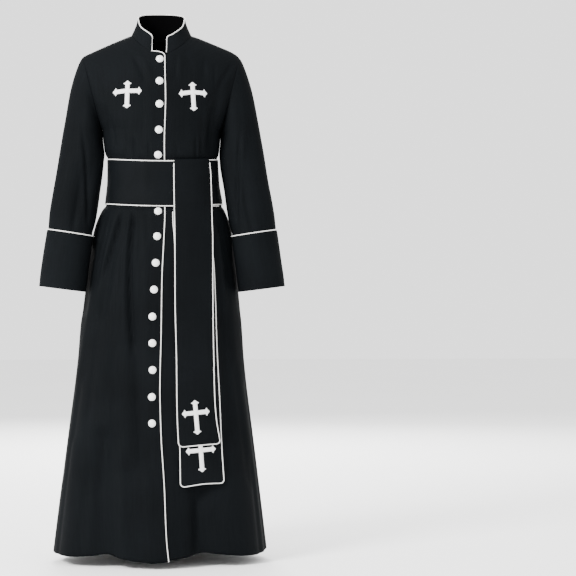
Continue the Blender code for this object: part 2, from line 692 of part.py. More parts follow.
def sheet_object(name, vertices, faces, thickness, colour, roughness):
    """An open middle surface, thickened to both sides."""
    mesh = bpy.data.meshes.new(name)
    mesh.from_pydata([tuple(v) for v in vertices], [], faces)
    face_outward(mesh)
    mesh.shade_smooth()
    item = add_object(name, mesh, colour, roughness)
    thicken = item.modifiers.new("Thickness", "SOLIDIFY")
    thicken.thickness = thickness
    thicken.offset = 0.0
    thicken.use_even_offset = True
    thicken.use_rim = True
    return item


def grid_sheet(name, grid, closed, thickness, colour, roughness):
    rows, columns = grid.shape[:2]
    flat = grid.reshape(-1, 3)
    faces = grid_triangles(rows, columns, closed, flat)
    return sheet_object(name, flat, faces, thickness, colour, roughness)


def piping(name, points, closed):
    """A round corded edge along a line of points."""
    curve = bpy.data.curves.new(name, "CURVE")
    curve.dimensions = "3D"
    curve.bevel_depth = PIPING_RADIUS
    curve.bevel_resolution = 1
    curve.use_fill_caps = True
    spline = curve.splines.new("POLY")
    spline.points.add(len(points) - 1)
    for target, point in zip(spline.points, points):
        target.co = (*point, 1.0)
    spline.use_cyclic_u = closed
    item = bpy.data.objects.new(name, curve)
    PARTS.objects.link(item)
    curve.materials.append(material(name, WHITE_TRIM, 0.45))
    return item


def edge_line(border, inside, normals, stretch=None):
    """The piping's line beside a cloth edge: each point stepped off the cloth, in its surface."""
    border, inside = np.asarray(border), np.asarray(inside)
    line = []
    for i, point in enumerate(border):
        before, after = border[max(i - 1, 0)], border[min(i + 1, len(border) - 1)]
        away = np.cross(after - before, normals[i])
        away /= np.linalg.norm(away)
        if np.dot(away, inside[i] - point) > 0:
            away = -away
        factor = (stretch or {}).get(i, 1.0)
        line.append(point + away * PIPING_STEP * factor)
    return line


def skirt_and_bodice(word, outer, inner):
    """The two pieces of one panel, which meet at the waist seam."""
    seam = LOWER_ROWS.index(WAIST_SEAM)
    half_gap = np.array([0.0, 0.0, GAP / 2.0])
    for name, part, edge, shift in (
        ("skirt_" + word, slice(None, seam + 1), -1, -half_gap),
        ("bodice_" + word, slice(seam, None), 0, half_gap),
    ):
        faces = [grid[part].copy() for grid in (outer, inner)]
        for grid in faces:
            grid[edge] += shift
        lofted_wall(name, *faces, False, BLACK_CLOTH, 0.75)


def make_fronts():
    surfaces = {}
    for word, side in (("front_right", -1), ("front_left", 1)):
        rows, outer, normals = front_surface(side)
        inner = outer - normals * WALL
        trim_panel(outer, rows, side, False)
        trim_panel(inner, rows, side, False)
        skirt_and_bodice(word, outer, inner)
        surfaces[side] = (rows, outer, inner, normals)
    return surfaces


def make_backs():
    for word, side in (("back_right", -1), ("back_left", 1)):
        rows, outer, normals = back_surface(side)
        inner = outer - normals * WALL
        trim_panel(outer, rows, side, True)
        trim_panel(inner, rows, side, True)
        skirt_and_bodice(word, outer, inner)


def make_front_piping(rows, outer, inner, normals):
    """Up the right front's edge and along the bottom of the notch."""
    end = FRONT_SHARES.index(0.645)
    last = len(LOWER_ROWS) + end
    middle = (outer + inner) / 2.0
    border = [middle[i, 0] for i in range(last + 1)]
    inside = [middle[i, 1] for i in range(last + 1)]
    inside[-1] = middle[last - 2, 0]
    corner = 0.78
    border.append(middle[last, 0] * (1 - corner) + middle[last + 1, 0] * corner)
    inside.append(middle[last - 2, 2])
    edge_normals = [normals[min(i, last), 0] for i in range(last + 2)]
    piping("piping_front", edge_line(border, inside, edge_normals), False)


def sleeve_curves(table):
    keys = list(range(len(table)))
    return {name: smooth_curve(keys, [getattr(row, name) for row in table])
            for name in SleeveSection._fields}


def sleeve_fold(degrees, station):
    total = 0.0
    for fold in SLEEVE_FOLDS:
        if not fold.first < station < fold.last:
            continue
        away = (degrees - fold.around + 180.0) % 360.0 - 180.0
        share = (station - fold.first) / (fold.last - fold.first)
        total += fold.depth * math.sin(math.pi * share) ** 2 * math.exp(-(away / fold.width) ** 2)
    return total


def sleeve_point(curves, station, turn, side, stand=0.0, reach=0.0):
    """A point round the sleeve; turn 0 is the outer line, a quarter turn is the front."""
    outer = np.array([curves["outer_x"](station), -curves["outer_drop"](station)])
    inner = np.array([curves["inner_x"](station), -curves["inner_drop"](station)])
    middle, half = (outer + inner) / 2.0, (outer - inner) / 2.0
    length = np.linalg.norm(half)
    out = stand + (sleeve_fold(math.degrees(turn), station) if stand == 0.0 else 0.0)
    flat = middle + half * (1.0 + out / length) * math.cos(turn)
    swing = SWING_LEFT * smoothstep((station + reach) / 11.0) if side > 0 else 0.0
    depth = SIDE_PLANE - curves["forward"](station) - (curves["depth"](station) + out) * math.sin(turn)
    return np.array([side * (flat[0] + swing), depth, flat[1]])


def sleeve_normal(curves, station, turn, side, top):
    step = 0.02
    low, high = max(station - step, 0.0), min(station + step, top)
    around = sleeve_point(curves, station, turn + step, side) - sleeve_point(curves, station, turn - step, side)
    down = sleeve_point(curves, high, turn, side) - sleeve_point(curves, low, turn, side)
    normal = np.cross(around, down) * side
    return normal / np.linalg.norm(normal)


def make_sleeve(name, side):
    curves = sleeve_curves(SLEEVE)
    stations = [float(k) for k in range(len(SLEEVE))]
    turns = [2.0 * math.pi * k / SLEEVE_SIDES for k in range(SLEEVE_SIDES)]
    top = stations[-1]
    outer = np.array([[sleeve_point(curves, s, t, side) for t in turns] for s in stations])
    normals = np.array([[sleeve_normal(curves, s, t, side, top) for t in turns] for s in stations])
    inner = outer - normals * WALL
    origin = ARMHOLE_ORIGIN * np.array([side, 1.0, 1.0])
    normal = ARMHOLE_NORMAL * np.array([side, 1.0, 1.0])
    for grid in (outer, inner):
        for j in range(SLEEVE_SIDES):
            keep_side(grid[0, j], origin, normal, GAP)
    lofted_wall(name, outer, inner, True, BLACK_CLOTH, 0.75)


def cuff_point(curves, station, turn, side, stand):
    return sleeve_point(curves, station, turn, side, stand, reach=11.0)


def make_cuff(name, side):
    curves = sleeve_curves(CUFF)
    turns = [2.0 * math.pi * k / SLEEVE_SIDES for k in range(SLEEVE_SIDES)]
    middle = CUFF_STAND - WALL / 2.0
    grid = np.array([[cuff_point(curves, s, t, side, middle) for t in turns] for s in range(len(CUFF))])
    grid_sheet(name, grid, True, WALL, BLACK_CLOTH, 0.75)
    up = np.array([0.0, 0.0, PIPING_STEP])
    rim = [cuff_point(curves, 0.0, t, side, CUFF_PIPING_STAND) + up for t in turns]
    piping("piping_" + name, rim, True)


def collar_top_drop(y):
    return COLLAR_TOP_DROP(y)


CollarTop = namedtuple("CollarTop", "y height")
COLLAR_TOP = [
    CollarTop(-0.0620, -0.0200), CollarTop(-0.0565, -0.0120), CollarTop(-0.0506, -0.0032),
    CollarTop(-0.0392, 0.0065), CollarTop(-0.0260, 0.0170), CollarTop(-0.0136, 0.0300),
    CollarTop(0.0000, 0.0380), CollarTop(0.0200, 0.0440), CollarTop(0.0447, 0.0517),
    CollarTop(0.0660, 0.0576),
]
COLLAR_TOP_DROP = column_curve(COLLAR_TOP, "y", "height")


def neck_seam_point(angle):
    """The collar seam on the panels' outer faces; the angle is in radians from the front."""
    back = math.cos(angle) < 0.0
    reach = NECK_BACK if back else NECK_FRONT
    wanted = reach * abs(math.cos(angle))
    low, high = 0.0, 1.0
    if back:
        low = BACK_SHARES[8] - 0.02
    else:
        low = FRONT_SHARES[6]
    for _ in range(40):
        middle = (low + high) / 2.0
        if CENTRE_DEPTH[back](middle) > wanted:
            low = middle
        else:
            high = middle
    level = min((low + high) / 2.0, 1.0)
    x = NECK_HALF * math.sin(angle)
    position = position_at(x, level, back)
    point = skin(position, level, back)
    if not back and x < 0.0:
        point = point + skin_normal(position, level) * lap_lift(x, level)
    return point


def make_collar():
    start, end = math.radians(COLLAR_RIGHT_END), math.radians(COLLAR_LEFT_END - 360.0)
    power = 2.0 / COLLAR_ROUNDNESS
    grid = [[] for _ in range(COLLAR_ROWS + 1)]
    for k in range(COLLAR_COLUMNS + 1):
        angle = start + (end - start) * k / COLLAR_COLUMNS
        base = neck_seam_point(angle) + np.array([0.0, 0.0, COLLAR_SEAM_GAP])
        sine, cosine = math.sin(angle), math.cos(angle)
        reach = COLLAR_FRONT if cosine > 0 else COLLAR_BACK
        x = COLLAR_HALF * math.copysign(abs(sine) ** power, sine)
        y = SIDE_PLANE - reach * math.copysign(abs(cosine) ** power, cosine)
        top = np.array([x, y, COLLAR_TOP_DROP(y)])
        for row in range(COLLAR_ROWS + 1):
            share = row / COLLAR_ROWS
            flare = (1.0 - share) ** COLLAR_FLARE
            point = top + (base - top) * flare
            point[2] = base[2] + (top[2] - base[2]) * share
            inward = np.array([sine, -cosine, 0.0]) * WALL / 2.0
            grid[row].append(point - inward)
    grid = np.array(grid)
    grid_sheet("collar", grid, False, WALL, BLACK_CLOTH, 0.75)
    outward = [np.array([math.sin(start + (end - start) * k / COLLAR_COLUMNS),
                         -math.cos(start + (end - start) * k / COLLAR_COLUMNS), 0.0])
               for k in range(COLLAR_COLUMNS + 1)]
    border, inside, normals = [], [], []
    for row in range(1, COLLAR_ROWS):
        border.append(grid[row, 0])
        inside.append(grid[row, 1])
        normals.append(outward[0])
    corner_one = len(border)
    for k in range(COLLAR_COLUMNS + 1):
        border.append(grid[-1, k])
        inside.append(grid[-2, min(max(k, 1), COLLAR_COLUMNS - 1)])
        normals.append(outward[k])
    corner_two = len(border) - 1
    for row in range(COLLAR_ROWS - 1, 0, -1):
        border.append(grid[row, -1])
        inside.append(grid[row, -2])
        normals.append(outward[-1])
    line = edge_line(border, inside, normals, {corner_one: 1.35, corner_two: 1.35})
    piping("piping_collar", line, False)


def waist_point(angle, drop, stand):
    """A point a given distance outside the unfolded body."""
    step = 0.01
    point = body_ring(angle, drop, False)
    along = body_ring(angle + step, drop, False) - body_ring(angle - step, drop, False)
    out = np.array([along[1], -along[0], 0.0])
    return point + out / np.linalg.norm(out) * stand


def belt_stand(angle, drop):
    x = body_ring(angle, drop, False)[0]
    lift = 0.0
    if math.cos(angle) > 0.0:
        lift = smoothstep((x - BELT_LIFT_FROM) / BELT_LIFT_EASE)
        lift *= smoothstep((BELT_LIFT_TO + BELT_LIFT_EASE - x) / BELT_LIFT_EASE)
    return BELT_STAND + BELT_LIFT * lift


def make_belt():
    angles = [2.0 * math.pi * k / BELT_COLUMNS for k in range(BELT_COLUMNS)]
    drops = [BELT_BOTTOM + (BELT_TOP - BELT_BOTTOM) * k / BELT_ROWS for k in range(BELT_ROWS + 1)]
    grid = np.array([[waist_point(a, d, belt_stand(a, d)) for a in angles] for d in drops])
    grid_sheet("belt", grid, True, BELT_WALL, BLACK_SATIN, 0.6)
    step = np.array([0.0, 0.0, PIPING_STEP])
    piping("piping_belt_top", [point + step for point in grid[-1]], True)
    piping("piping_belt_bottom", [point - step for point in grid[0]], True)


def front_angle(x, drop):
    return position_at(x, UNDERARM_DROP - drop) * math.pi / 2.0


def fall_row(sections, drop, stand, inset=0.0, down=0.0):
    left = column_curve(sections, "drop", "left")(drop) + PIPING_STEP + inset
    right = column_curve(sections, "drop", "right")(drop) - PIPING_STEP - inset
    row = []
    for k in range(FALL_COLUMNS + 1):
        share = k / FALL_COLUMNS
        angle = front_angle(left + (right - left) * share, drop)
        point = waist_point(angle, drop, stand)
        slant = FALL_SLANT * (share - 0.5) * smoothstep((drop - sections[0].drop) / 0.6)
        row.append(point + np.array([0.0, 0.0, down - slant]))
    return row


def corner_insets(drops):
    """Inset of each row, so that the fall's lower corners are rounded."""
    insets = [0.0] * len(drops)
    for i, drop in enumerate(drops):
        below = FALL_CORNER - (drops[-1] - drop)
        if below > 0.0:
            insets[i] = FALL_CORNER - math.sqrt(max(FALL_CORNER ** 2 - below ** 2, 0.0))
    return insets


def fall_piping(name, grid, first):
    """Down the left edge, round the bottom and up the right edge."""
    last = grid.shape[0] - 1
    border = [grid[i, 0] for i in range(first, last + 1)]
    inside = [grid[i, 1] for i in range(first, last)] + [grid[last - 3, 1]]
    for k in range(1, FALL_COLUMNS):
        border.append(grid[last, k])
        inside.append(grid[last - 1, k])
    border += [grid[i, -1] for i in range(last, first - 1, -1)]
    inside += [grid[last - 3, -2]] + [grid[i, -2] for i in range(last - 1, first - 1, -1)]
    line = edge_line(border, inside, [np.array([0.0, -1.0, 0.0])] * len(border))
    piping(name, line, False)


def make_fall_front():
    rows = []
    for share in (1.0, 0.5, 0.0):
        drop = BELT_TOP + TUCK_LENGTH * share
        rows.append(fall_row(FALL_FRONT, drop, TUCK_STAND))
    radius = (OVER_BELT_STAND - TUCK_STAND) / 2.0
    centre = (OVER_BELT_STAND + TUCK_STAND) / 2.0
    for step in range(FOLD_OVER_STEPS + 1):
        turn = math.pi * step / FOLD_OVER_STEPS
        stand = centre - radius * math.cos(turn)
        rise = PIPING_STEP + radius * math.sin(turn)
        rows.append(fall_row(FALL_FRONT, BELT_TOP, stand, down=rise))
    folded = len(rows)
    stands = smooth_curve([0.33, 0.4525, 0.470, 0.520, 1.1],
                          [OVER_BELT_STAND, OVER_BELT_STAND + 0.0006, OVER_BELT_STAND - 0.0002,
                           FALL_FRONT_STAND + 0.0004, FALL_FRONT_STAND])
    for drop, inset in zip(FALL_FRONT_DROPS, corner_insets(FALL_FRONT_DROPS)):
        rows.append(fall_row(FALL_FRONT, drop, stands(drop), inset))
    grid = np.array(rows)
    grid_sheet("fall_front", grid, False, FALL_WALL, BLACK_SATIN, 0.6)
    fall_piping("piping_fall_front", grid, folded)
    return grid


def make_fall_back():
    stands = smooth_curve([0.42, 0.4585, 0.480, 1.2],
                          [TUCK_STAND, TUCK_STAND, FALL_BACK_STAND, FALL_BACK_STAND])
    rows = []
    for drop, inset in zip(FALL_BACK_DROPS, corner_insets(FALL_BACK_DROPS)):
        rows.append(fall_row(FALL_BACK, drop, stands(drop), inset))
    grid = np.array(rows)
    grid_sheet("fall_back", grid, False, FALL_WALL, BLACK_SATIN, 0.6)
    fall_piping("piping_fall_back", grid, FALL_BACK_DROPS.index(0.480))
    return grid


def surface_tree(*names):
    """A search tree of some objects' evaluated faces, in world space."""
    graph = bpy.context.evaluated_depsgraph_get()
    vertices, polygons = [], []
    for name in names:
        item = bpy.data.objects[name]
        evaluated = item.evaluated_get(graph)
        mesh = evaluated.to_mesh()
        first = len(vertices)
        vertices += [item.matrix_world @ vertex.co for vertex in mesh.vertices]
        polygons += [tuple(first + k for k in polygon.vertices) for polygon in mesh.polygons]
        evaluated.to_mesh_clear()
    return BVHTree.FromPolygons(vertices, polygons)


def button_mesh():
    """Half outline of a domed button, turned by a Screw modifier."""
    outline = [(0.0, 1.0), (0.62, 0.86), (1.0, 0.36), (0.92, 0.0), (0.0, 0.0)]
    mesh = bpy.data.meshes.new("button_outline")
    points = [(x * BUTTON_RADIUS, 0.0, z * BUTTON_HEIGHT) for x, z in outline]
    mesh.from_pydata(points, [(i, i + 1) for i in range(len(points) - 1)], [])
    return mesh


def place_button(name, mesh, tree, point, normal):
    """Seat a button on the cloth: its flat back lies a gap above the highest spot under it."""
    point, normal = Vector(point), Vector(normal).normalized()
    frame = normal.to_track_quat("Z", "Y").to_matrix().to_4x4()
    heights = []
    for ring in (0.0, 0.5, 0.92):
        for k in range(BUTTON_STEPS):
            turn = 2.0 * math.pi * k / BUTTON_STEPS
            offset = frame @ Vector((math.cos(turn), math.sin(turn), 0.0)) * BUTTON_RADIUS * ring
            start = point + offset + normal * 0.02
            hit = tree.ray_cast(start, -normal, 0.04)[0]
            if hit is not None:
                heights.append((hit - point).dot(normal))
    item = bpy.data.objects.new(name, mesh.copy())
    PARTS.objects.link(item)
    item.data.materials.append(material(name, WHITE_BUTTON, 0.25))
    item.matrix_world = Matrix.Translation(point + normal * (max(heights) + GAP)) @ frame
    turned = item.modifiers.new("Turned", "SCREW")
    turned.axis = "Z"
    turned.steps = BUTTON_STEPS
    turned.render_steps = BUTTON_STEPS
    turned.use_merge_vertices = True
    turned.merge_threshold = 0.00001
    turned.use_smooth_shade = True


def make_front_buttons(tree):
    mesh = button_mesh()
    for number, place in enumerate(FRONT_BUTTONS, 1):
        level = level_of_drop(place.drop)
        position = position_at(place.x, level)
        normal = skin_normal(position, level)
        point = skin(position, level) + normal * lap_lift(place.x, level)
        place_button(f"button_front_{number:02d}", mesh, tree, point, normal)


def make_cuff_buttons():
    mesh = button_mesh()
    curves = sleeve_curves(CUFF)
    last = len(CUFF) - 1
    counts = {-1: 0, 1: 0}
    trees = {-1: surface_tree("cuff_right"), 1: surface_tree("cuff_left")}
    words = {-1: "right", 1: "left"}
    for place in CUFF_BUTTONS:
        counts[place.side] += 1
        turn = math.radians(place.around)
        station = place.share * last
        step = 0.05
        point = cuff_point(curves, station, turn, place.side, CUFF_STAND)
        around = cuff_point(curves, station, turn + step, place.side, CUFF_STAND) - point
        down = cuff_point(curves, station + step, turn, place.side, CUFF_STAND) - point
        normal = np.cross(around, down) * place.side
        name = f"button_cuff_{words[place.side]}_{counts[place.side]}"
        place_button(name, mesh, trees[place.side], point, normal)


def cross_arm(length):
    """Half outline of one arm, from the hub to its pointed end: distance out, half width."""
    return [
        (ARM_HALF, ARM_HALF),
        ((ARM_HALF + length - NECK_OF_BARB) / 2.0, ARM_HALF),
        (length - NECK_OF_BARB, ARM_HALF),
        (length - BARB_BACK, BARB_HALF),
        (length - TIP_SHOULDER, TIP_SHOULDER_HALF),
    ]


def make_cross(place, tree):
    """A flat cross with pointed, barbed ends, laid on the cloth under it."""
    lean = math.radians(place.lean)
    flat, faces = [(-ARM_HALF, -ARM_HALF), (ARM_HALF, -ARM_HALF), (ARM_HALF, ARM_HALF), (-ARM_HALF, ARM_HALF)], []
    faces += [(0, 1, 2), (0, 2, 3)]
    arms = [((1, 0), place.side, (1, 2)), ((0, 1), place.up, (2, 3)),
            ((-1, 0), place.side, (3, 0)), ((0, -1), place.down, (0, 1))]
    for (dx, dz), length, (first, second) in arms:
        low, high = first, second
        for distance, half in cross_arm(length)[1:]:
            flat.append((dx * distance + dz * half, dz * distance - dx * half))
            flat.append((dx * distance - dz * half, dz * distance + dx * half))
            new_low, new_high = len(flat) - 2, len(flat) - 1
            faces += [(low, new_low, new_high), (low, new_high, high)]
            low, high = new_low, new_high
        flat.append((dx * length, dz * length))
        faces.append((low, len(flat) - 1, high))
    stand = CROSS_STAND + CROSS_WALL / 2.0
    vertices = []
    for u, v in flat:
        x = place.x + u * math.cos(lean) - v * math.sin(lean)
        z = -place.drop + v * math.cos(lean) + u * math.sin(lean)
        hit, normal = tree.ray_cast(Vector((x, -1.0, z)), Vector((0.0, 1.0, 0.0)))[:2]
        vertices.append(hit + normal * stand)
    sheet_object(place.name, vertices, faces, CROSS_WALL, WHITE_TRIM, 0.55)


def make_crosses():
    carriers = {
        "cross_chest_right": "bodice_front_right",
        "cross_chest_left": "bodice_front_left",
        "cross_fall_front": "fall_front",
        "cross_fall_back": "fall_back",
    }
    for place in CROSSES:
        make_cross(place, surface_tree(carriers[place.name]))


def main():
    fronts = make_fronts()
    make_backs()
    make_front_piping(*fronts[-1])
    for word, side in (("right", -1), ("left", 1)):
        make_sleeve("sleeve_" + word, side)
        make_cuff("cuff_" + word, side)
    make_collar()
    make_belt()
    make_fall_front()
    make_fall_back()
    make_front_buttons(surface_tree("bodice_front_right", "skirt_front_right"))
    make_cuff_buttons()
    make_crosses()


clear_scene()
PARTS = bpy.data.collections.new("clergy_robe")
bpy.context.scene.collection.children.link(PARTS)
main()
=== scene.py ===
"""Clergy robe: cloth, piping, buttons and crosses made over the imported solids.

Metres, +Z up. The robe faces -Y and its right side (the wearer's right) is at -X.
The origin is midway between the two neck points. Heights are given as drops below it.
"""

import bisect
import math
from collections import namedtuple

import bpy
import numpy as np
from bpy.props import FloatProperty, FloatVectorProperty, IntProperty, PointerProperty
from mathutils import Matrix, Vector, noise
from mathutils.bvhtree import BVHTree


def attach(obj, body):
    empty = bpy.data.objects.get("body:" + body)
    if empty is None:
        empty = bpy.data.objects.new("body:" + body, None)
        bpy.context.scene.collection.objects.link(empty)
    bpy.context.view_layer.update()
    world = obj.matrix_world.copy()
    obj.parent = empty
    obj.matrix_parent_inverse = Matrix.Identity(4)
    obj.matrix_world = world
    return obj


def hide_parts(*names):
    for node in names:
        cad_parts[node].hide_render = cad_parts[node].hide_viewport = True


bl_info = {
    "name": "Clergy robe",
    "version": (1, 0, 0),
    "blender": (4, 5, 0),
    "location": "3D View > Sidebar > Robe",
    "description": "Makes a black clergy robe with white piping, a belt and two falls",
    "category": "Add Mesh",
}

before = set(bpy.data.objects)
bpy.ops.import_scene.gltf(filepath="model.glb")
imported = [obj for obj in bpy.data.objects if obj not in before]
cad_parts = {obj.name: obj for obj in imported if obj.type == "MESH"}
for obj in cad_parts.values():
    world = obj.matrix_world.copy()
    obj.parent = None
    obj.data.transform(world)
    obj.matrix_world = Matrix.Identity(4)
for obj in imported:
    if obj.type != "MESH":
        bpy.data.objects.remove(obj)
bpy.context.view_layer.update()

# Gap between sewn pieces, the cord's step off an edge in the solids, and here by its radius
GAP = 0.0003
PIPING_STEP = 0.0017
CORD_STEP = 0.9

# How often a search halves its range
HALVINGS = 40

# Body
SIDE_PLANE = 0.003
ROUNDNESS = 2.2
UNDERARM_DROP = 0.258
UNDERARM_HALF = 0.158
SHOULDER_HALF = 0.2077
SHOULDER_DROP = 0.064
ARMHOLE_DEPTH = 0.058
HEM_DROP = 1.375
NECK_HALF = 0.079
NECK_FRONT = 0.0875
NECK_BACK = 0.063
SHOULDER_SOFTNESS = 0.25
# How far the left shoulder line stands higher than the right one, by share from the centre
SHOULDER_SHARES = [0.33, 0.47, 0.60, 0.75, 0.86, 0.94, 1.0]
LEFT_SHOULDER_LIFT = [0.0, 0.0022, 0.0030, 0.0042, 0.0054, 0.0042, 0.0]

# Front opening: the right front laps over the left one
LAP_WIDTH = 0.032
LAP_LIFT = 0.0024
LAP_LIFT_SKIRT = 0.0018
LAP_RISE = 0.022
LAP_MARGIN = 0.006

# Belt: how far its middle layer stands off the body, and how far it is lifted over the falls
BELT_TOP = 0.338
BELT_BOTTOM = 0.4525
BELT_STAND = 0.0024
BELT_LIFT = 0.0027
BELT_LIFT_FROM = -0.062
BELT_LIFT_TO = 0.134
BELT_LIFT_EASE = 0.020
WAIST_DIP_FRONT = 0.0085
WAIST_DIP_BACK = 0.003

# Falls: stand-off of their middle layers, the fold over the belt and the tuck behind it
TUCK_STAND = 0.0019
OVER_BELT_STAND = 0.0081
FALL_FRONT_STAND = 0.0074
FALL_BACK_STAND = 0.0024
TUCK_LENGTH = 0.030
FALL_CORNER = 0.0095

# Collar
COLLAR_HALF = 0.0625
COLLAR_FRONT = 0.0630
COLLAR_BACK = 0.0620
COLLAR_ROUNDNESS = 2.4
COLLAR_FLARE = 1.4
COLLAR_SEAM_GAP = 0.0007
COLLAR_RIGHT_END = -19.06
COLLAR_LEFT_END = 9.98

# Cuffs
CUFF_STAND = 0.0027
CUFF_PIPING_STAND = 0.0026

# One row for each level of the body: half width, and depth in front of and behind the side plane
BodySection = namedtuple("BodySection", "drop centre half_width front back")
BODY = [BodySection(*row) for row in (
    (UNDERARM_DROP, 0.0, UNDERARM_HALF, 0.118, 0.1), (0.29, 0.0008, 0.1545, 0.1175, 0.099),
    (0.312, 0.0015, 0.1518, 0.1155, 0.0975), (0.325, 0.002, 0.1485, 0.1115, 0.0945),
    (0.332, 0.0026, 0.1446, 0.107, 0.0905), (BELT_TOP, 0.003, 0.1432, 0.1065, 0.09),
    (0.395, 0.0048, 0.1452, 0.106, 0.092), (BELT_BOTTOM, 0.0064, 0.1526, 0.109, 0.0975),
    (0.4585, 0.0064, 0.1532, 0.1095, 0.098), (0.466, 0.0058, 0.1593, 0.115, 0.1035),
    (0.48, 0.005, 0.1664, 0.119, 0.11), (0.52, 0.004, 0.178, 0.1245, 0.1205),
    (0.57, 0.0025, 0.1885, 0.129, 0.13), (0.63, 0.001, 0.198, 0.134, 0.138),
    (0.7, 0.0007, 0.2072, 0.1405, 0.1465), (0.78, 0.0002, 0.2148, 0.147, 0.154),
    (0.86, -0.0006, 0.221, 0.153, 0.16), (1.1, -0.0015, 0.251, 0.171, 0.178),
    (HEM_DROP, -0.003, 0.2838, 0.19, 0.2),
)]

# Centre lines above the underarm, from there (share 0) to the shoulder seam (share 1)
CentreSection = namedtuple("CentreSection", "share depth drop")
FRONT_CENTRE = [CentreSection(*row) for row in (
    (0.0, 0.118, UNDERARM_DROP), (0.15, 0.119, 0.222), (0.3, 0.1165, 0.18), (0.45, 0.1085, 0.13),
    (0.55, 0.099, 0.095), (0.66, 0.0825, 0.057), (0.8, 0.05, 0.018), (0.9, 0.0245, -0.004),
    (1.0, 0.0, -0.0146),
)]
BACK_CENTRE = [CentreSection(*row) for row in (
    (0.0, 0.1, UNDERARM_DROP), (0.2, 0.105, 0.205), (0.4, 0.106, 0.15), (0.6, 0.099, 0.095),
    (0.75, 0.086, 0.052), (0.88, 0.063, 0.013), (1.0, 0.0, -0.0146),
)]

# Folds and gathers: degrees round the body from the centre front, the wearer's left positive,
# at the fold's top, middle and bottom, then its drops, half width in degrees and depth outward
Fold = namedtuple("Fold", "top middle bottom start end width depth")
FOLDS = [Fold(*row) for row in (
    (-40, -43, -47, 0.462, 0.78, 6, -0.008), (-27, -16, -7, 0.462, 1.16, 5.5, -0.0085),
    (-33, -30, -26, 0.8, 1.12, 6, -0.0045), (-57, -66, -74, 0.66, 0.95, 7, 0.004),
    (-62, -63, -64, 0.462, 0.7, 7, -0.005), (-17, -14, -11, 1.1, HEM_DROP, 5, -0.006),
    (-38, -34, -29, 1.02, HEM_DROP, 9, -0.022), (-62, -58, -54, 1.05, HEM_DROP, 12, 0.006),
    (-12, -10, -6, 1.15, HEM_DROP, 13, 0.01), (46, 46, 45, 0.62, 1.1, 8, -0.008),
    (62, 63, 64, 0.462, 0.7, 7, -0.006), (-80, -79, -78, 0.545, 0.77, 11, -0.008),
    (80, 80, 80, 0.545, 0.77, 10, -0.003), (21, 21, 23, 1.08, HEM_DROP, 8, -0.025),
    (48, 50, 52, 1.15, HEM_DROP, 12, 0.006), (-28, -28, -28, 0.278, 0.333, 6, -0.003),
    (49, 48, 46, 0.278, 0.333, 7, -0.0035), (136, 137, 138, 0.462, 0.75, 6, -0.007),
    (165, 164, 163, 0.462, 0.64, 6, -0.0055), (-146, -149, -152, 0.462, 0.62, 6, -0.005),
    (-132, -128, -124, 0.462, 0.72, 6, -0.007), (-136, -133, -128, 0.9, 1.25, 8, -0.012),
    (138, 135, 133, 0.88, 1.18, 8, -0.01), (128, 127, 126, 0.78, 1.05, 7, 0.004),
    (180, 180, 180, 0.47, HEM_DROP, 6, -0.008), (-157, -158, -159, 1.05, HEM_DROP, 11, 0.005),
    (156, 157, 158, 1.05, HEM_DROP, 11, 0.006), (135, 136, 137, 0.278, 0.333, 7, -0.003),
    (-155, -156, -157, 0.278, 0.333, 7, -0.003),
)]
FOLD_EASE = 0.050
FOLD_EASE_SHORT = 0.020
FOLD_SHORT = 0.100

# How far the hem rises above its drop, by degrees round the body
HemPoint = namedtuple("HemPoint", "angle rise")
HEM = [HemPoint(*row) for row in (
    (-180, 0.0), (-145, 0.001), (-130, 0.008), (-117, 0.017), (-104, 0.022), (-90, 0.0105),
    (-75, 0.0055), (-56, 0.0054), (-38, 0.01), (-29, 0.0146), (-17, 0.004), (-6, -0.0016),
    (4, 0.003), (11, 0.0085), (23, 0.0164), (37, 0.01), (46, 0.006), (60, 0.0044), (75, 0.006),
    (90, 0.0105), (104, 0.02), (117, 0.016), (130, 0.007), (145, 0.001), (180, 0.0),
)]
HEM_RISE_FROM = 1.00

# Share of the way up the back at which the neckline leaves the centre seam
NECK_SHARE = 0.88

# Centre of the piping on the right front's edge
EdgePoint = namedtuple("EdgePoint", "drop x")
FRONT_EDGE = [EdgePoint(*row) for row in (
    (0.0, 0.0092), (0.079, 0.0092), (0.185, 0.011), (0.29, 0.008), (0.473, 0.0091),
    (0.551, 0.0062), (0.655, 0.0016), (0.784, -0.0003), (0.939, -0.0036), (1.041, -0.001),
    (1.169, 0.0067), (1.322, 0.0128), (HEM_DROP, 0.018),
)]

# The seam between bodice and skirt, under the belt
WAIST_SEAM = 0.395

# Drops just under the belt's lower piping, and where the cloth hangs free of it
UNDER_BELT = 0.4585
BELOW_BELT = 0.480

# Where each front's top edge lies beside the notch, by share
NotchPoint = namedtuple("NotchPoint", "share x")
NOTCH_RIGHT = [NotchPoint(*row) for row in (
    (0.6, 0.0075), (0.62, 0.0073), (0.635, 0.0045), (0.645, -0.002), (0.66, -0.0265),
)]
NOTCH_LEFT = [NotchPoint(*row) for row in (
    (0.56, -0.0245), (0.6, -0.015), (0.62, 0.0), (0.635, 0.0137), (0.66, 0.0262),
)]

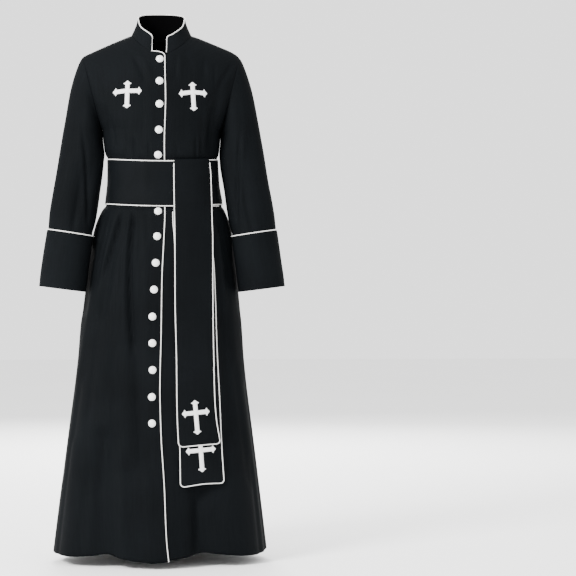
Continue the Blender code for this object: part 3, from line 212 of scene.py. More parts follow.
# Sleeve sections from the armhole down: outer and inner line, depth and how far forward they sit
SleeveSection = namedtuple("SleeveSection", "outer_x outer_drop inner_x inner_drop depth forward")
SLEEVE = [SleeveSection(*row) for row in (
    (SHOULDER_HALF, SHOULDER_DROP, UNDERARM_HALF, UNDERARM_DROP, ARMHOLE_DEPTH, 0.0),
    (0.216, 0.078, 0.1584, 0.267, 0.06, 0.0), (0.229, 0.112, 0.158, 0.279, 0.061, 0.001),
    (0.24, 0.153, 0.1565, 0.293, 0.0605, 0.003), (0.2495, 0.202, 0.1538, 0.308, 0.059, 0.006),
    (0.2575, 0.248, 0.1516, 0.324, 0.057, 0.009), (0.265, 0.297, 0.1512, 0.344, 0.0555, 0.013),
    (0.2728, 0.345, 0.1534, 0.374, 0.054, 0.018), (0.2802, 0.394, 0.1583, 0.414, 0.0525, 0.024),
    (0.2876, 0.44, 0.1642, 0.456, 0.0515, 0.03), (0.2946, 0.487, 0.1724, 0.503, 0.0505, 0.036),
    (0.2966, 0.514, 0.179, 0.53, 0.05, 0.039), (0.297, 0.5225, 0.181, 0.5395, 0.0498, 0.04),
    (0.2981, 0.535, 0.1824, 0.552, 0.0498, 0.0406),
)]
CUFF = [SleeveSection(*row) for row in (
    (0.2968, 0.523, 0.1806, 0.5405, 0.05, 0.04), (0.3034, 0.565, 0.1863, 0.582, 0.0505, 0.042),
    (0.31, 0.61, 0.1925, 0.626, 0.051, 0.043), (0.315, 0.645, 0.1965, 0.66, 0.0512, 0.043),
    (0.3178, 0.671, 0.1995, 0.686, 0.0512, 0.043),
)]
# How far the left sleeve swings out, in full from the station where the cuff begins
SWING_LEFT = 0.0055
CUFF_STATION = 11.0

SleeveFold = namedtuple("SleeveFold", "around first last width depth")
SLEEVE_FOLDS = [SleeveFold(*row) for row in (
    (105, 5.0, 11.0, 22, -0.005), (60, 2.0, 8.0, 18, -0.003), (250, 4.0, 10.5, 24, -0.005),
    (300, 1.5, 6.0, 20, -0.003),
)]

# Falls: piping lines at the two long edges, by drop
FallSection = namedtuple("FallSection", "drop left right")
FALL_FRONT = [FallSection(*row) for row in (
    (0.336, 0.0309, 0.12), (0.37, 0.031, 0.123), (0.448, 0.0321, 0.1259), (0.551, 0.0337, 0.1295),
    (0.706, 0.0342, 0.1301), (0.861, 0.0376, 0.1322), (0.964, 0.0386, 0.1348),
    (1.015, 0.0398, 0.1387), (1.08, 0.043, 0.1492),
)]
FALL_BACK = [FallSection(*row) for row in (
    (0.43, 0.029, 0.118), (0.48, 0.029, 0.1215), (0.55, 0.0335, 0.129), (0.629, 0.035, 0.136),
    (0.706, 0.036, 0.139), (0.836, 0.0395, 0.143), (0.964, 0.043, 0.1494), (1.092, 0.0467, 0.1548),
    (1.186, 0.048, 0.1608),
)]

# Falls: slant of the ends across the width, and the piping's half width
FALL_SLANT = -0.005
FALL_EDGE = 0.0016

# Drops of the falls' ends, of the back one's start behind the belt and of its piping's start
FALL_FRONT_END = 1.0805
FALL_BACK_END = 1.1865
FALL_BACK_START = 0.428
FALL_BACK_CORD = 0.468

# The drop from which the falls hang evenly
FALL_EVEN = 0.520

# Front buttons: drop and x of the centre; the one under the belt doesn't show and is left out
ButtonPlace = namedtuple("ButtonPlace", "drop x")
FRONT_BUTTONS = [ButtonPlace(*row) for row in (
    (0.08, -0.0044), (0.1384, -0.005), (0.1985, -0.0052), (0.2653, -0.0068), (0.329, -0.0088),
    (0.4775, -0.0086), (0.5418, -0.0112), (0.6108, -0.0149), (0.68, -0.0195), (0.7496, -0.0235),
    (0.818, -0.0236), (0.8868, -0.0228), (0.956, -0.0242), (1.0236, -0.0236),
)]
CuffButton = namedtuple("CuffButton", "side around share")
CUFF_BUTTONS = [CuffButton(*row) for row in (
    (-1, 295, 0.14), (-1, 295, 0.45), (-1, 295, 0.78), (1, 311, 0.14), (1, 311, 0.45),
    (1, 311, 0.77),
)]

# Crosses: centre of the bar, arm lengths and lean in degrees, seen from the front
CrossPlace = namedtuple("CrossPlace", "name x drop side up down lean left_arm right_arm")
CROSSES = [CrossPlace(*row) for row in (
    ("cross_chest_right", -0.0883, 0.1636, 0.0368, 0.0262, 0.045, -1.7, 9.0, -1.5),
    ("cross_chest_left", 0.0815, 0.1662, 0.0362, 0.0262, 0.0485, 3.2, 5.5, 8.5),
    ("cross_fall_front", 0.088, 0.9966, 0.035, 0.032, 0.0555, 4.8, 0.0, 0.0),
    ("cross_fall_back", 0.1008, 1.093, 0.038, 0.032, 0.0555, 4.0, 0.0, 0.0),
)]
ARM_HALF = 0.0052

# The barbed point at each end of a bar: way back from its tip, and half width there
BarbPoint = namedtuple("BarbPoint", "back half")
BARB = [BarbPoint(*row) for row in (
    (0.0, 0.0003), (0.0015, 0.0026), (0.003, 0.0042), (0.0046, 0.0058), (0.0062, 0.0098),
    (0.0076, 0.0092), (0.0087, 0.0062), (0.0105, ARM_HALF),
)]

CollarTop = namedtuple("CollarTop", "y height")
COLLAR_TOP = [CollarTop(*row) for row in (
    (-0.062, -0.02), (-0.0565, -0.012), (-0.0506, -0.0032), (-0.0392, 0.0065), (-0.026, 0.017),
    (-0.0136, 0.03), (0.0, 0.038), (0.02, 0.044), (0.0447, 0.0517), (0.066, 0.0576),
)]

# Smaller folds, in the same columns as the main ones
FINE_FOLDS = [Fold(*row) for row in (
    (-13, -12, -11, 0.462, 0.56, 2.0, -0.0022), (-20, -20, -19, 0.462, 0.64, 2.4, -0.003),
    (-34, -35, -36, 0.462, 0.6, 2.2, -0.0028), (-41, -44.5, -50, 0.46, 0.66, 1.6, -0.011),
    (-44, -47, -52, 0.461, 0.64, 2.4, 0.003), (-27.5, -23, -17, 0.46, 0.86, 1.6, -0.011),
    (-31, -27, -21, 0.461, 0.82, 2.8, 0.003), (-52, -54, -56, 0.462, 0.68, 2.6, -0.0032),
    (-70, -72, -74, 0.462, 0.59, 3.0, -0.0026), (-47, -50, -52, 0.7, 1.06, 3.6, -0.0026),
    (-36, -37, -38, 0.86, 1.24, 3.2, -0.0024), (20, 19, 17, 1.2, HEM_DROP, 2.2, -0.007),
    (51, 52, 53, 0.5, 0.76, 3.0, 0.004), (-90, -90, -90, 0.47, 0.69, 14.0, 0.0036),
    (90, 90, 90, 0.47, 0.69, 14.0, 0.003), (-33, -31, -29, 0.462, 0.7, 1.6, -0.004),
    (-68, -69, -70, 0.9, HEM_DROP, 4.0, -0.003), (-47, -46, -45, 1.12, HEM_DROP, 3.6, -0.0034),
    (-82, -83, -84, 0.8, 1.2, 4.4, -0.0026), (31, 32, 33, 0.98, HEM_DROP, 3.4, -0.0036),
    (38, 38, 37, 0.52, 0.9, 3.0, -0.0016), (55, 56, 57, 0.462, 0.64, 2.4, -0.003),
    (70, 71, 72, 0.462, 0.62, 2.8, -0.003), (60, 60, 61, 0.86, 1.22, 4.0, -0.0032),
    (78, 79, 80, 0.9, HEM_DROP, 4.6, -0.0036), (67, 67, 66, 1.1, HEM_DROP, 3.6, -0.0028),
    (98, 99, 100, 0.462, 0.66, 3.0, -0.003), (112, 113, 114, 0.47, 0.82, 3.4, -0.0034),
    (146, 147, 148, 0.462, 0.59, 2.4, -0.0032), (155, 156, 157, 0.462, 0.7, 2.6, -0.003),
    (172, 171, 170, 0.462, 0.56, 2.2, -0.0026), (-170, -169, -168, 0.462, 0.6, 2.4, -0.003),
    (-160, -161, -162, 0.462, 0.74, 2.8, -0.0032), (-139, -138, -137, 0.462, 0.56, 2.2, -0.0034),
    (-114, -115, -116, 0.47, 0.8, 3.4, -0.0034), (-99, -100, -101, 0.462, 0.64, 3.0, -0.0028),
    (120, 121, 122, 0.9, HEM_DROP, 4.6, -0.004), (148, 148, 149, 0.98, HEM_DROP, 4.0, -0.0036),
    (168, 168, 168, 0.9, 1.26, 4.0, -0.0024), (-168, -167, -167, 1.0, HEM_DROP, 4.0, -0.003),
    (-146, -147, -147, 0.98, HEM_DROP, 4.2, -0.0036),
    (-119, -120, -121, 0.88, HEM_DROP, 4.8, -0.004),
    (-105, -105, -106, 1.06, HEM_DROP, 4.2, -0.0034),
    (105, 106, 106, 1.04, HEM_DROP, 4.2, -0.0034),
)]

# Creases drawn on one face of the bodice, from a first to a second point seen from the front,
# and the lowest level that they reach
CREASES_FROM = -0.09
Crease = namedtuple("Crease", "x1 drop1 x2 drop2 width depth")
FRONT_CREASES = [Crease(*row) for row in (
    (0.186, 0.085, 0.15, 0.15, 0.0075, -0.0034), (0.156, 0.14, 0.118, 0.2, 0.009, -0.003),
    (0.15, 0.175, 0.122, 0.3, 0.01, -0.0036), (0.104, 0.08, 0.112, 0.15, 0.012, -0.0016),
    (0.158, 0.15, 0.134, 0.225, 0.012, -0.0042), (0.136, 0.205, 0.13, 0.332, 0.012, -0.0052),
    (0.118, 0.215, 0.112, 0.334, 0.007, 0.002), (0.04, 0.064, 0.034, 0.14, 0.0045, -0.002),
    (0.049, 0.062, 0.048, 0.13, 0.006, 0.0014), (0.112, 0.074, 0.112, 0.13, 0.0045, -0.0018),
    (0.141, 0.088, 0.137, 0.146, 0.0045, -0.0018), (0.06, 0.048, 0.082, 0.115, 0.008, -0.0012),
    (-0.18, 0.09, -0.15, 0.19, 0.009, -0.003), (-0.15, 0.2, -0.128, 0.3, 0.01, -0.0028),
    (-0.072, 0.07, -0.034, 0.148, 0.008, -0.0034), (-0.058, 0.062, -0.024, 0.13, 0.007, 0.0016),
    (-0.131, 0.236, -0.121, 0.302, 0.004, -0.003), (-0.138, 0.2, -0.132, 0.29, 0.007, 0.0018),
    (-0.104, 0.25, -0.084, 0.334, 0.006, -0.0026), (-0.072, 0.286, -0.069, 0.34, 0.0034, -0.004),
    (-0.064, 0.29, -0.062, 0.34, 0.0034, 0.0018), (-0.033, 0.296, -0.032, 0.34, 0.0034, -0.0034),
    (0.04, 0.3, 0.041, 0.336, 0.0035, -0.0018), (0.09, 0.28, 0.09, 0.34, 0.0034, -0.004),
    (0.103, 0.282, 0.102, 0.34, 0.0034, -0.004), (0.096, 0.286, 0.096, 0.34, 0.0034, 0.0016),
)]
BACK_CREASES = [Crease(*row) for row in (
    (-0.185, 0.09, -0.14, 0.2, 0.009, -0.0034), (0.185, 0.09, 0.142, 0.195, 0.009, -0.0034),
    (-0.12, 0.1, -0.105, 0.28, 0.013, -0.002), (0.118, 0.11, 0.1, 0.29, 0.013, -0.002),
    (-0.04, 0.06, -0.052, 0.13, 0.009, -0.0012), (0.046, 0.06, 0.058, 0.13, 0.009, -0.0012),
    (-0.092, 0.27, -0.086, 0.336, 0.0055, -0.003), (-0.055, 0.29, -0.053, 0.336, 0.0042, -0.0024),
    (0.02, 0.3, 0.021, 0.336, 0.004, -0.0018), (0.062, 0.284, 0.06, 0.336, 0.0048, -0.0026),
    (0.1, 0.268, 0.094, 0.336, 0.0055, -0.003),
)]
SLEEVE_CREASES = [SleeveFold(*row) for row in (
    (98, 8.0, 12.8, 8, -0.0035), (122, 5.5, 9.5, 9, -0.0024), (80, 1.0, 5.0, 10, -0.002),
    (150, 0.5, 6.0, 12, -0.0026), (45, 6.0, 11.0, 10, -0.002), (265, 5.0, 12.0, 9, -0.0036),
    (235, 6.5, 10.5, 9, -0.0024), (285, 1.0, 6.0, 11, -0.002), (210, 0.5, 5.5, 12, -0.0026),
    (320, 6.0, 11.5, 10, -0.0018), (170, 6.0, 12.5, 10, -0.002),
)]
# Soft cross creases of the falls: drop, half width and depth
FallCrease = namedtuple("FallCrease", "drop width depth")
FALL_CREASES = [FallCrease(*row) for row in (
    (0.352, 0.006, -0.0006), (0.505, 0.009, -0.0004), (0.704, 0.007, 0.0006),
    (0.748, 0.006, 0.0012), (0.757, 0.004, -0.0013), (0.878, 0.006, 0.0012),
    (0.889, 0.005, -0.0013), (0.905, 0.009, 0.0005),
)]


def smoothstep(value):
    value = min(max(value, 0.0), 1.0)
    return value * value * (3.0 - 2.0 * value)


def bell(away, width):
    return math.exp(-(away / width) ** 2)


def turned_from(degrees, centre):
    """The angle from one direction to another, between -180 and 180 degrees."""
    return (degrees - centre + 180.0) % 360.0 - 180.0


def rounded(value, power):
    return math.copysign(abs(value) ** power, value)


def halved(low, high, look_above):
    """Close in on a value; look_above says whether it lies above a guess."""
    for _ in range(HALVINGS):
        middle = (low + high) / 2.0
        if look_above(middle):
            low = middle
        else:
            high = middle
    return (low + high) / 2.0


def smooth_curve(knots, values):
    """A smooth function through the knots that never overshoots them."""
    knots = [float(k) for k in knots]
    values = [float(v) for v in values]
    steps = [b - a for a, b in zip(knots, knots[1:])]
    slopes = [(b - a) / s for a, b, s in zip(values, values[1:], steps)]
    tangents = [slopes[0]] + [0.0] * (len(knots) - 2) + [slopes[-1]]
    for i in range(1, len(knots) - 1):
        if slopes[i - 1] * slopes[i] > 0.0:
            first = 2.0 * steps[i] + steps[i - 1]
            second = steps[i] + 2.0 * steps[i - 1]
            tangents[i] = (first + second) / (first / slopes[i - 1] + second / slopes[i])

    def value(at):
        at = min(max(at, knots[0]), knots[-1])
        i = min(bisect.bisect_right(knots, at) - 1, len(steps) - 1)
        t = (at - knots[i]) / steps[i]
        return ((1 + 2 * t) * (1 - t) ** 2 * values[i]
                + t * (1 - t) ** 2 * steps[i] * tangents[i]
                + t * t * (3 - 2 * t) * values[i + 1]
                + t * t * (t - 1) * steps[i] * tangents[i + 1])

    return value


def column_curve(table, key, column):
    return smooth_curve([getattr(row, key) for row in table],
                        [getattr(row, column) for row in table])


BODY_CENTRE = column_curve(BODY, "drop", "centre")
BODY_HALF = column_curve(BODY, "drop", "half_width")
BODY_FRONT = column_curve(BODY, "drop", "front")
BODY_BACK = column_curve(BODY, "drop", "back")
CENTRE_DEPTH = {
    False: column_curve(FRONT_CENTRE, "share", "depth"),
    True: column_curve(BACK_CENTRE, "share", "depth"),
}
CENTRE_DROP = {
    False: column_curve(FRONT_CENTRE, "share", "drop"),
    True: column_curve(BACK_CENTRE, "share", "drop"),
}
HEM_RISE = column_curve(HEM, "angle", "rise")
EDGE_X = column_curve(FRONT_EDGE, "drop", "x")
WAIST_WEIGHT = smooth_curve([UNDERARM_DROP, 0.325, 0.466, 0.620], [0.0, 1.0, 1.0, 0.0])


def one_fold(fold, angle, drop):
    """How far one fold moves the cloth outward at an angle in degrees and a drop."""
    share = (drop - fold.start) / (fold.end - fold.start)
    if not 0.0 < share <= 1.0:
        return 0.0
    centre = (fold.top * (2 * share - 1) * (share - 1) + fold.middle * 4 * share * (1 - share)
              + fold.bottom * share * (2 * share - 1))
    away = turned_from(angle, centre)
    if abs(away) > 3.0 * fold.width:
        return 0.0
    ease = FOLD_EASE_SHORT if fold.end - fold.start < FOLD_SHORT else FOLD_EASE
    strength = smoothstep((drop - fold.start) / ease)
    if fold.end < HEM_DROP:
        strength *= smoothstep((fold.end - drop) / ease)
    return fold.depth * strength * bell(away, fold.width)


def waist_dip(angle, drop):
    """How far the belt line dips at the centre front and back."""
    facing = math.cos(angle)
    deepest = WAIST_DIP_FRONT if facing > 0 else WAIST_DIP_BACK
    return deepest * facing * facing * WAIST_WEIGHT(drop)


def body_ring(angle, drop, folded=True):
    """A point of the body's outer face below the underarm; the angle is in radians."""
    sine, cosine = math.sin(angle), math.cos(angle)
    across, along = rounded(sine, 2.0 / ROUNDNESS), rounded(cosine, 2.0 / ROUNDNESS)
    depth = BODY_FRONT(drop) if cosine > 0 else BODY_BACK(drop)
    degrees = math.degrees(angle)
    out = cloth_out(degrees, drop) if folded else 0.0
    rise = HEM_RISE(turned_from(degrees, 0.0))
    rise *= smoothstep((drop - HEM_RISE_FROM) / (HEM_DROP - HEM_RISE_FROM))
    return np.array([
        BODY_CENTRE(drop) + BODY_HALF(drop) * across + out * sine,
        SIDE_PLANE - depth * along - out * cosine,
        -drop - waist_dip(angle, drop) + rise,
    ])


def armhole_point(share):
    """X, depth and drop of the armhole seam, from the underarm (0) to the shoulder tip (1)."""
    turn = 0.5 - 0.5 * math.cos(math.pi * share)
    return (UNDERARM_HALF + (SHOULDER_HALF - UNDERARM_HALF) * turn,
            ARMHOLE_DEPTH * math.sin(math.pi * share),
            UNDERARM_DROP + (SHOULDER_DROP - UNDERARM_DROP) * turn)


def across_shape(position, share):
    """Blend from the rounded ring at the underarm to the straight shoulder seam."""
    fullness = 1.0 - share ** 1.8
    quarter = position * math.pi / 2.0
    power = 2.0 / ROUNDNESS
    soft = math.hypot(position, SHOULDER_SOFTNESS) - SHOULDER_SOFTNESS
    soft /= math.hypot(1.0, SHOULDER_SOFTNESS) - SHOULDER_SOFTNESS
    wide = position + (math.sin(quarter) ** power - position) * fullness
    deep = soft + (1.0 - max(math.cos(quarter), 0.0) ** power - soft) * fullness
    return wide, deep, soft


LEFT_SHOULDER = smooth_curve(SHOULDER_SHARES, LEFT_SHOULDER_LIFT)


def skin(position, level, back=False):
    """The body's outer face. Position runs -1 to 1 from the right side to the left one.

    A level up to 0 is a height below the underarm in metres, a level above 0 is the share
    of the way from the underarm to the shoulder seam.
    """
    if level <= 0.0:
        angle = position * math.pi / 2.0
        if back:
            angle = math.pi - angle
        return body_ring(angle, UNDERARM_DROP - level)
    level = min(level, 1.0)
    outer_x, outer_depth, outer_drop = armhole_point(level)
    centre_depth = CENTRE_DEPTH[back](level)
    centre_drop = CENTRE_DROP[back](level)
    wide, deep, soft = across_shape(abs(position), level)
    depth = centre_depth + (outer_depth - centre_depth) * deep
    lift = LEFT_SHOULDER(position) * smoothstep((level - 0.45) / 0.5)
    return np.array([
        math.copysign(outer_x * wide, position),
        SIDE_PLANE + (depth if back else -depth),
        lift - (centre_drop + (outer_drop - centre_drop) * soft),
    ])


def skin_normal(position, level, back=False):
    step = 0.004
    above = min(level + step, 1.0)
    across = skin(position + step, level, back) - skin(position - step, level, back)
    up = skin(position, above, back) - skin(position, level - step, back)
    normal = np.cross(across, up)
    normal /= np.linalg.norm(normal)
    return -normal if back else normal


def position_at(x, level):
    """The position across the body at which the unfolded face has this x."""
    if level <= 0.0:
        drop = UNDERARM_DROP - level
        ratio = (x - BODY_CENTRE(drop)) / BODY_HALF(drop)
        turn = math.asin(min(abs(ratio), 1.0) ** (ROUNDNESS / 2.0))
        return math.copysign(turn / (math.pi / 2.0), ratio)
    outer_x = armhole_point(level)[0]
    return math.copysign(
        halved(0.0, 1.0, lambda share: outer_x * across_shape(share, level)[0] < abs(x)), x)


def level_of_drop(drop):
    """The level whose centre front lies at this drop."""
    return halved(UNDERARM_DROP - HEM_DROP, 1.0, lambda level: -skin(0.0, level)[2] > drop)


def centre_drop_of(level):
    return UNDERARM_DROP - level if level <= 0.0 else CENTRE_DROP[False](level)


def lap_lift(x, level):
    """How far the right front is lifted off the left one under it."""
    under_edge = EDGE_X(centre_drop_of(level)) - PIPING_STEP - LAP_WIDTH
    start = under_edge - LAP_MARGIN - LAP_RISE
    lift = LAP_LIFT + LAP_LIFT_SKIRT * smoothstep((centre_drop_of(level) - 0.5) / 0.4)
    return lift * smoothstep((x - start) / LAP_RISE)


def neck_x(level, back=False):
    reach = NECK_BACK if back else NECK_FRONT
    cosine = min(CENTRE_DEPTH[back](level) / reach, 1.0)
    return NECK_HALF * math.sqrt(1.0 - cosine * cosine)


def front_inner_x(side, level):
    """Where a front's inner boundary lies: its edge, then the notch, then the neckline."""
    notch = NOTCH_RIGHT if side < 0 else NOTCH_LEFT
    if level > notch[-1].share:
        return side * neck_x(level)
    if level >= notch[0].share:
        return column_curve(notch, "share", "x")(level)
    edge = EDGE_X(centre_drop_of(level)) - PIPING_STEP
    return edge if side < 0 else edge - LAP_WIDTH


def keep_side(point, origin, normal, least):
    """Move a point along a seam plane's normal until it lies at least this far past the plane."""
    distance = float(np.dot(point - origin, normal))
    if distance < least:
        point += normal * (least - distance)


def sleeve_curves(table):
    keys = list(range(len(table)))
    return {name: smooth_curve(keys, [getattr(row, name) for row in table])
            for name in SleeveSection._fields}


def crease_round(table, degrees, station):
    """How far the folds of a sleeve move it outward."""
    total = 0.0
    for fold in table:
        if not fold.first < station < fold.last:
            continue
        away = turned_from(degrees, fold.around)
        share = (station - fold.first) / (fold.last - fold.first)
        total += fold.depth * math.sin(math.pi * share) ** 2 * bell(away, fold.width)
    return total


def sleeve_point(curves, station, turn, side, stand=0.0, reach=0.0):
    """A point round the sleeve; turn 0 is the outer line, a quarter turn is the front."""
    outer = np.array([curves["outer_x"](station), -curves["outer_drop"](station)])
    inner = np.array([curves["inner_x"](station), -curves["inner_drop"](station)])
    middle, half = (outer + inner) / 2.0, (outer - inner) / 2.0
    length = np.linalg.norm(half)
    flat = middle + half * (1.0 + stand / length) * math.cos(turn)
    swing = SWING_LEFT * smoothstep((station + reach) / CUFF_STATION) if side > 0 else 0.0
    depth = (curves["depth"](station) + stand) * math.sin(turn)
    return np.array([side * (flat[0] + swing), SIDE_PLANE - curves["forward"](station) - depth,
                     flat[1]])


def cuff_point(curves, station, turn, side, stand):
    return sleeve_point(curves, station, turn, side, stand, CUFF_STATION)


COLLAR_TOP_DROP = column_curve(COLLAR_TOP, "y", "height")


def neck_seam_point(angle):
    """The collar seam on the panels' outer faces; the angle is in radians from the front."""
    back = math.cos(angle) < 0.0
    reach = NECK_BACK if back else NECK_FRONT
    wanted = reach * abs(math.cos(angle))
    low = NECK_SHARE - 0.02 if back else NOTCH_LEFT[0].share
    level = min(halved(low, 1.0, lambda share: CENTRE_DEPTH[back](share) > wanted), 1.0)
    x = NECK_HALF * math.sin(angle)
    position = position_at(x, level)
    point = skin(position, level, back)
    if not back and x < 0.0:
        point = point + skin_normal(position, level) * lap_lift(x, level)
    return point


def waist_point(angle, drop, stand):
    """A point a given distance outside the unfolded body."""
    step = 0.01
    point = body_ring(angle, drop, False)
    along = body_ring(angle + step, drop, False) - body_ring(angle - step, drop, False)
    out = np.array([along[1], -along[0], 0.0])
    return point + out / np.linalg.norm(out) * stand


def belt_stand(angle, drop):
    x = body_ring(angle, drop, False)[0]
    lift = 0.0
    if math.cos(angle) > 0.0:
        lift = smoothstep((x - BELT_LIFT_FROM) / BELT_LIFT_EASE)
        lift *= smoothstep((BELT_LIFT_TO + BELT_LIFT_EASE - x) / BELT_LIFT_EASE)
    return BELT_STAND + BELT_LIFT * lift


def front_angle(x, drop):
    return position_at(x, UNDERARM_DROP - drop) * math.pi / 2.0


# Cloth surfaces with every fold

def round_spot(radius, turn, height):
    """A place in the noise that closes on itself round a ring."""
    return Vector((radius * math.cos(turn), radius * math.sin(turn), height))


def ripple(angle, drop):
    """Slight unevenness of hanging cloth, always inward."""
    if BELT_TOP - 0.02 < drop < BELT_BOTTOM + 0.012:
        return 0.0
    turn = math.radians(angle)
    spot = round_spot(2.6, turn, drop * 1.7)
    fine = round_spot(7.5, turn, drop * 3.1 + 4.0)
    size = bpy.context.scene.robe_cloth.ripple
    away = smoothstep((abs(drop - WAIST_SEAM) - 0.07) / 0.10)
    return size * away * (noise.noise(spot) - 0.6 + 0.4 * noise.noise(fine))


def cloth_out(angle, drop):
    total = sum(one_fold(fold, angle, drop) for fold in FOLDS) + ripple(angle, drop)
    for fold in FINE_FOLDS:
        total += one_fold(fold, angle, drop)
    return total


def crease_depth(table, x, drop):
    total = 0.0
    for crease in table:
        run_x, run_drop = crease.x2 - crease.x1, crease.drop2 - crease.drop1
        length = math.hypot(run_x, run_drop)
        along = ((x - crease.x1) * run_x + (drop - crease.drop1) * run_drop) / (length * length)
        if not -0.1 < along < 1.1:
            continue
        across = ((x - crease.x1) * run_drop - (drop - crease.drop1) * run_x) / length
        ends = smoothstep((along + 0.1) / 0.35) * smoothstep((1.1 - along) / 0.35)
        total += crease.depth * ends * bell(across, crease.width)
    return total


def spread(start, end, count):
    return [start + (end - start) * k / count for k in range(count)]


def runs(start, *parts):
    """Rows in several runs, each given by its end and its count."""
    rows = []
    for end, count in parts:
        rows += spread(start, end, count)
        start = end
    return rows + [start]


def panel_levels(*parts):
    """Levels of a panel's rows, from the hem to the shoulder; the parts are above the underarm."""
    drops = runs(HEM_DROP, (BELOW_BELT, 110), (UNDER_BELT, 9), (BELT_TOP, 14),
                 (UNDERARM_DROP, 18))
    return [UNDERARM_DROP - drop for drop in drops[:-1]] + runs(0.0, *parts)


def panel_columns(count):
    """Shares across a panel, closer together beside its two seams."""
    near = [0.0, 0.006, 0.013, 0.022]
    inside = [0.034 + (0.966 - 0.034) * k / count for k in range(count + 1)]
    return near + inside + [1.0 - share for share in reversed(near)]


# Borders of a grid: its axis, and the places along it of the border and the line before it
Border = namedtuple("Border", "axis edge before")
BORDERS = {"first_row": Border(0, 0, 1), "last_row": Border(0, -1, -2),
           "first_column": Border(1, 0, 1), "last_column": Border(1, -1, -2)}


def turn_under(grid, normals, border, rows=None, wall=None):
    """Add the seam allowance at one edge: it steps in under the neighbouring piece."""
    depth = (wall or bpy.context.scene.robe_cloth.wall) + 0.0004
    reach = bpy.context.scene.robe_cloth.allowance
    axis, place, before = BORDERS[border]
    edge, sunk = grid.take(place, axis), normals.take(place, axis)
    away = edge - grid.take(before, axis)
    away /= np.maximum(np.linalg.norm(away, axis=1, keepdims=True), 1e-9)
    mask = np.ones(len(edge))
    if rows is not None:
        mask[:] = 0.0
        mask[rows] = 1.0
    mask = mask[:, None]
    near = edge + mask * (away * 0.0004 - sunk * depth)
    far = edge + mask * (away * reach - sunk * (depth + 0.0006)) + (1.0 - mask) * away * 0.0002
    near += (1.0 - mask) * away * 0.0001
    near, far = np.expand_dims(near, axis), np.expand_dims(far, axis)
    return np.concatenate([grid, near, far] if place else [far, near, grid], axis=axis)


def finite_normals(grid, closed):
    """Unit normals of a grid, from its columns and rows."""
    if closed:
        across = np.roll(grid, -1, 1) - np.roll(grid, 1, 1)
    else:
        across = np.gradient(grid, axis=1)
    up = np.gradient(grid, axis=0)
    normals = np.cross(across, up)
    return normals / np.maximum(np.linalg.norm(normals, axis=2, keepdims=True), 1e-9)


def border_distance(grid, border):
    """How far each point of a grid lies from one of its borders, along the cloth."""
    axis = BORDERS[border].axis
    steps = np.linalg.norm(np.diff(grid, axis=axis), axis=2)
    zeros = np.zeros_like(np.take(steps, [0], axis=axis))
    if border.startswith("first"):
        return np.concatenate([zeros, np.cumsum(steps, axis=axis)], axis=axis)
    back = np.flip(np.cumsum(np.flip(steps, axis=axis), axis=axis), axis=axis)
    return np.concatenate([back, zeros], axis=axis)


def press_seam(grid, normals, border, strengths=None):
    """Draw the cloth in at a seam, with the slight pucker of the stitches."""
    cloth = bpy.context.scene.robe_cloth
    distance = border_distance(grid, border)
    other = "first_row" if border.endswith("column") else "first_column"
    along = border_distance(grid, other)
    pucker = 1.0 + 0.30 * np.sin(along * (2.0 * math.pi / cloth.pucker))
    sink = cloth.seam_depth * pucker * np.exp(-(distance / cloth.seam_width) ** 2)
    if strengths is not None:
        sink *= np.asarray(strengths)[:, None]
    grid -= normals * sink[:, :, None]


def side_strengths(levels_up):
    """The side seam lies flat where the sleeve hangs against it."""
    return [1.0 - smoothstep((level + 0.14) / 0.04) * smoothstep((0.70 - level) / 0.2)
            for level in levels_up]


def ease_chest(grid, levels_up):
    """Let the cloth run smoothly past the underarm level."""
    rows, columns = grid.shape[:2]
    level_row = min(range(rows), key=lambda i: abs(levels_up[i]))
    across = np.array([smoothstep((columns - 1 - j) / 8.0) for j in range(columns)])
    down = np.exp(-((np.arange(rows) - level_row) / 5.0) ** 2)
    weight = 0.5 * down[:, None] * across[None, :]
    for _ in range(16):
        middle = (grid[:-2, :, 1] + grid[2:, :, 1]) / 2.0
        grid[1:-1, :, 1] += weight[1:-1] * (middle - grid[1:-1, :, 1])


def press_hem(grid, normals, border, height=None):
    """The stitch line of a turned hem."""
    cloth = bpy.context.scene.robe_cloth
    distance = border_distance(grid, border)
    height = height or cloth.hem_height
    sink = 0.5 * cloth.seam_depth * np.exp(-((distance - height) / 0.0022) ** 2)
    grid -= normals * sink[:, :, None]


def creased_skin(creases, position, level, back=False, lap=False):
    """A point of a panel, with its creases above the waist and the lift of the lap."""
    point = skin(position, level, back)
    lift = crease_depth(creases, point[0], -point[2]) if level > CREASES_FROM else 0.0
    if lap:
        lift += lap_lift(point[0], level)
    return point + skin_normal(position, level, back) * lift if lift else point


def front_grid(side):
    levels_up = panel_levels((0.56, 26), (0.60, 4), (0.66, 18), (1.0, 22))
    columns = panel_columns(56)
    grid = np.zeros((len(levels_up), len(columns), 3))
    for i, level in enumerate(levels_up):
        inner = position_at(front_inner_x(side, level), level)
        for j, share in enumerate(columns):
            position = inner + (side - inner) * share
            grid[i, j] = creased_skin(FRONT_CREASES, position, level, lap=side < 0)
    return levels_up, grid


def back_grid(side):
    levels_up = panel_levels((0.82, 36), (1.0, 20))
    columns = panel_columns(50)
    grid = np.zeros((len(levels_up), len(columns), 3))
    for i, level in enumerate(levels_up):
        inner = position_at(neck_x(level, True), level) if level > NECK_SHARE else 0.0
        for j, share in enumerate(columns):
            position = side * max(inner + (1.0 - inner) * share, 1e-6)
            grid[i, j] = creased_skin(BACK_CREASES, position, level, True)
    return levels_up, grid


def outward_normals(grid, closed, axis):
    """Grid normals turned away from a line of points, one for each row."""
    normals = finite_normals(grid, closed)
    if np.sum(normals * (grid - np.asarray(axis)[:, None, :])) < 0.0:
        normals = -normals
    return normals


def body_axis(grid):
    axis = grid.mean(axis=1)
    axis[:, 0] = 0.0
    axis[:, 1] = SIDE_PLANE
    return axis


# Objects

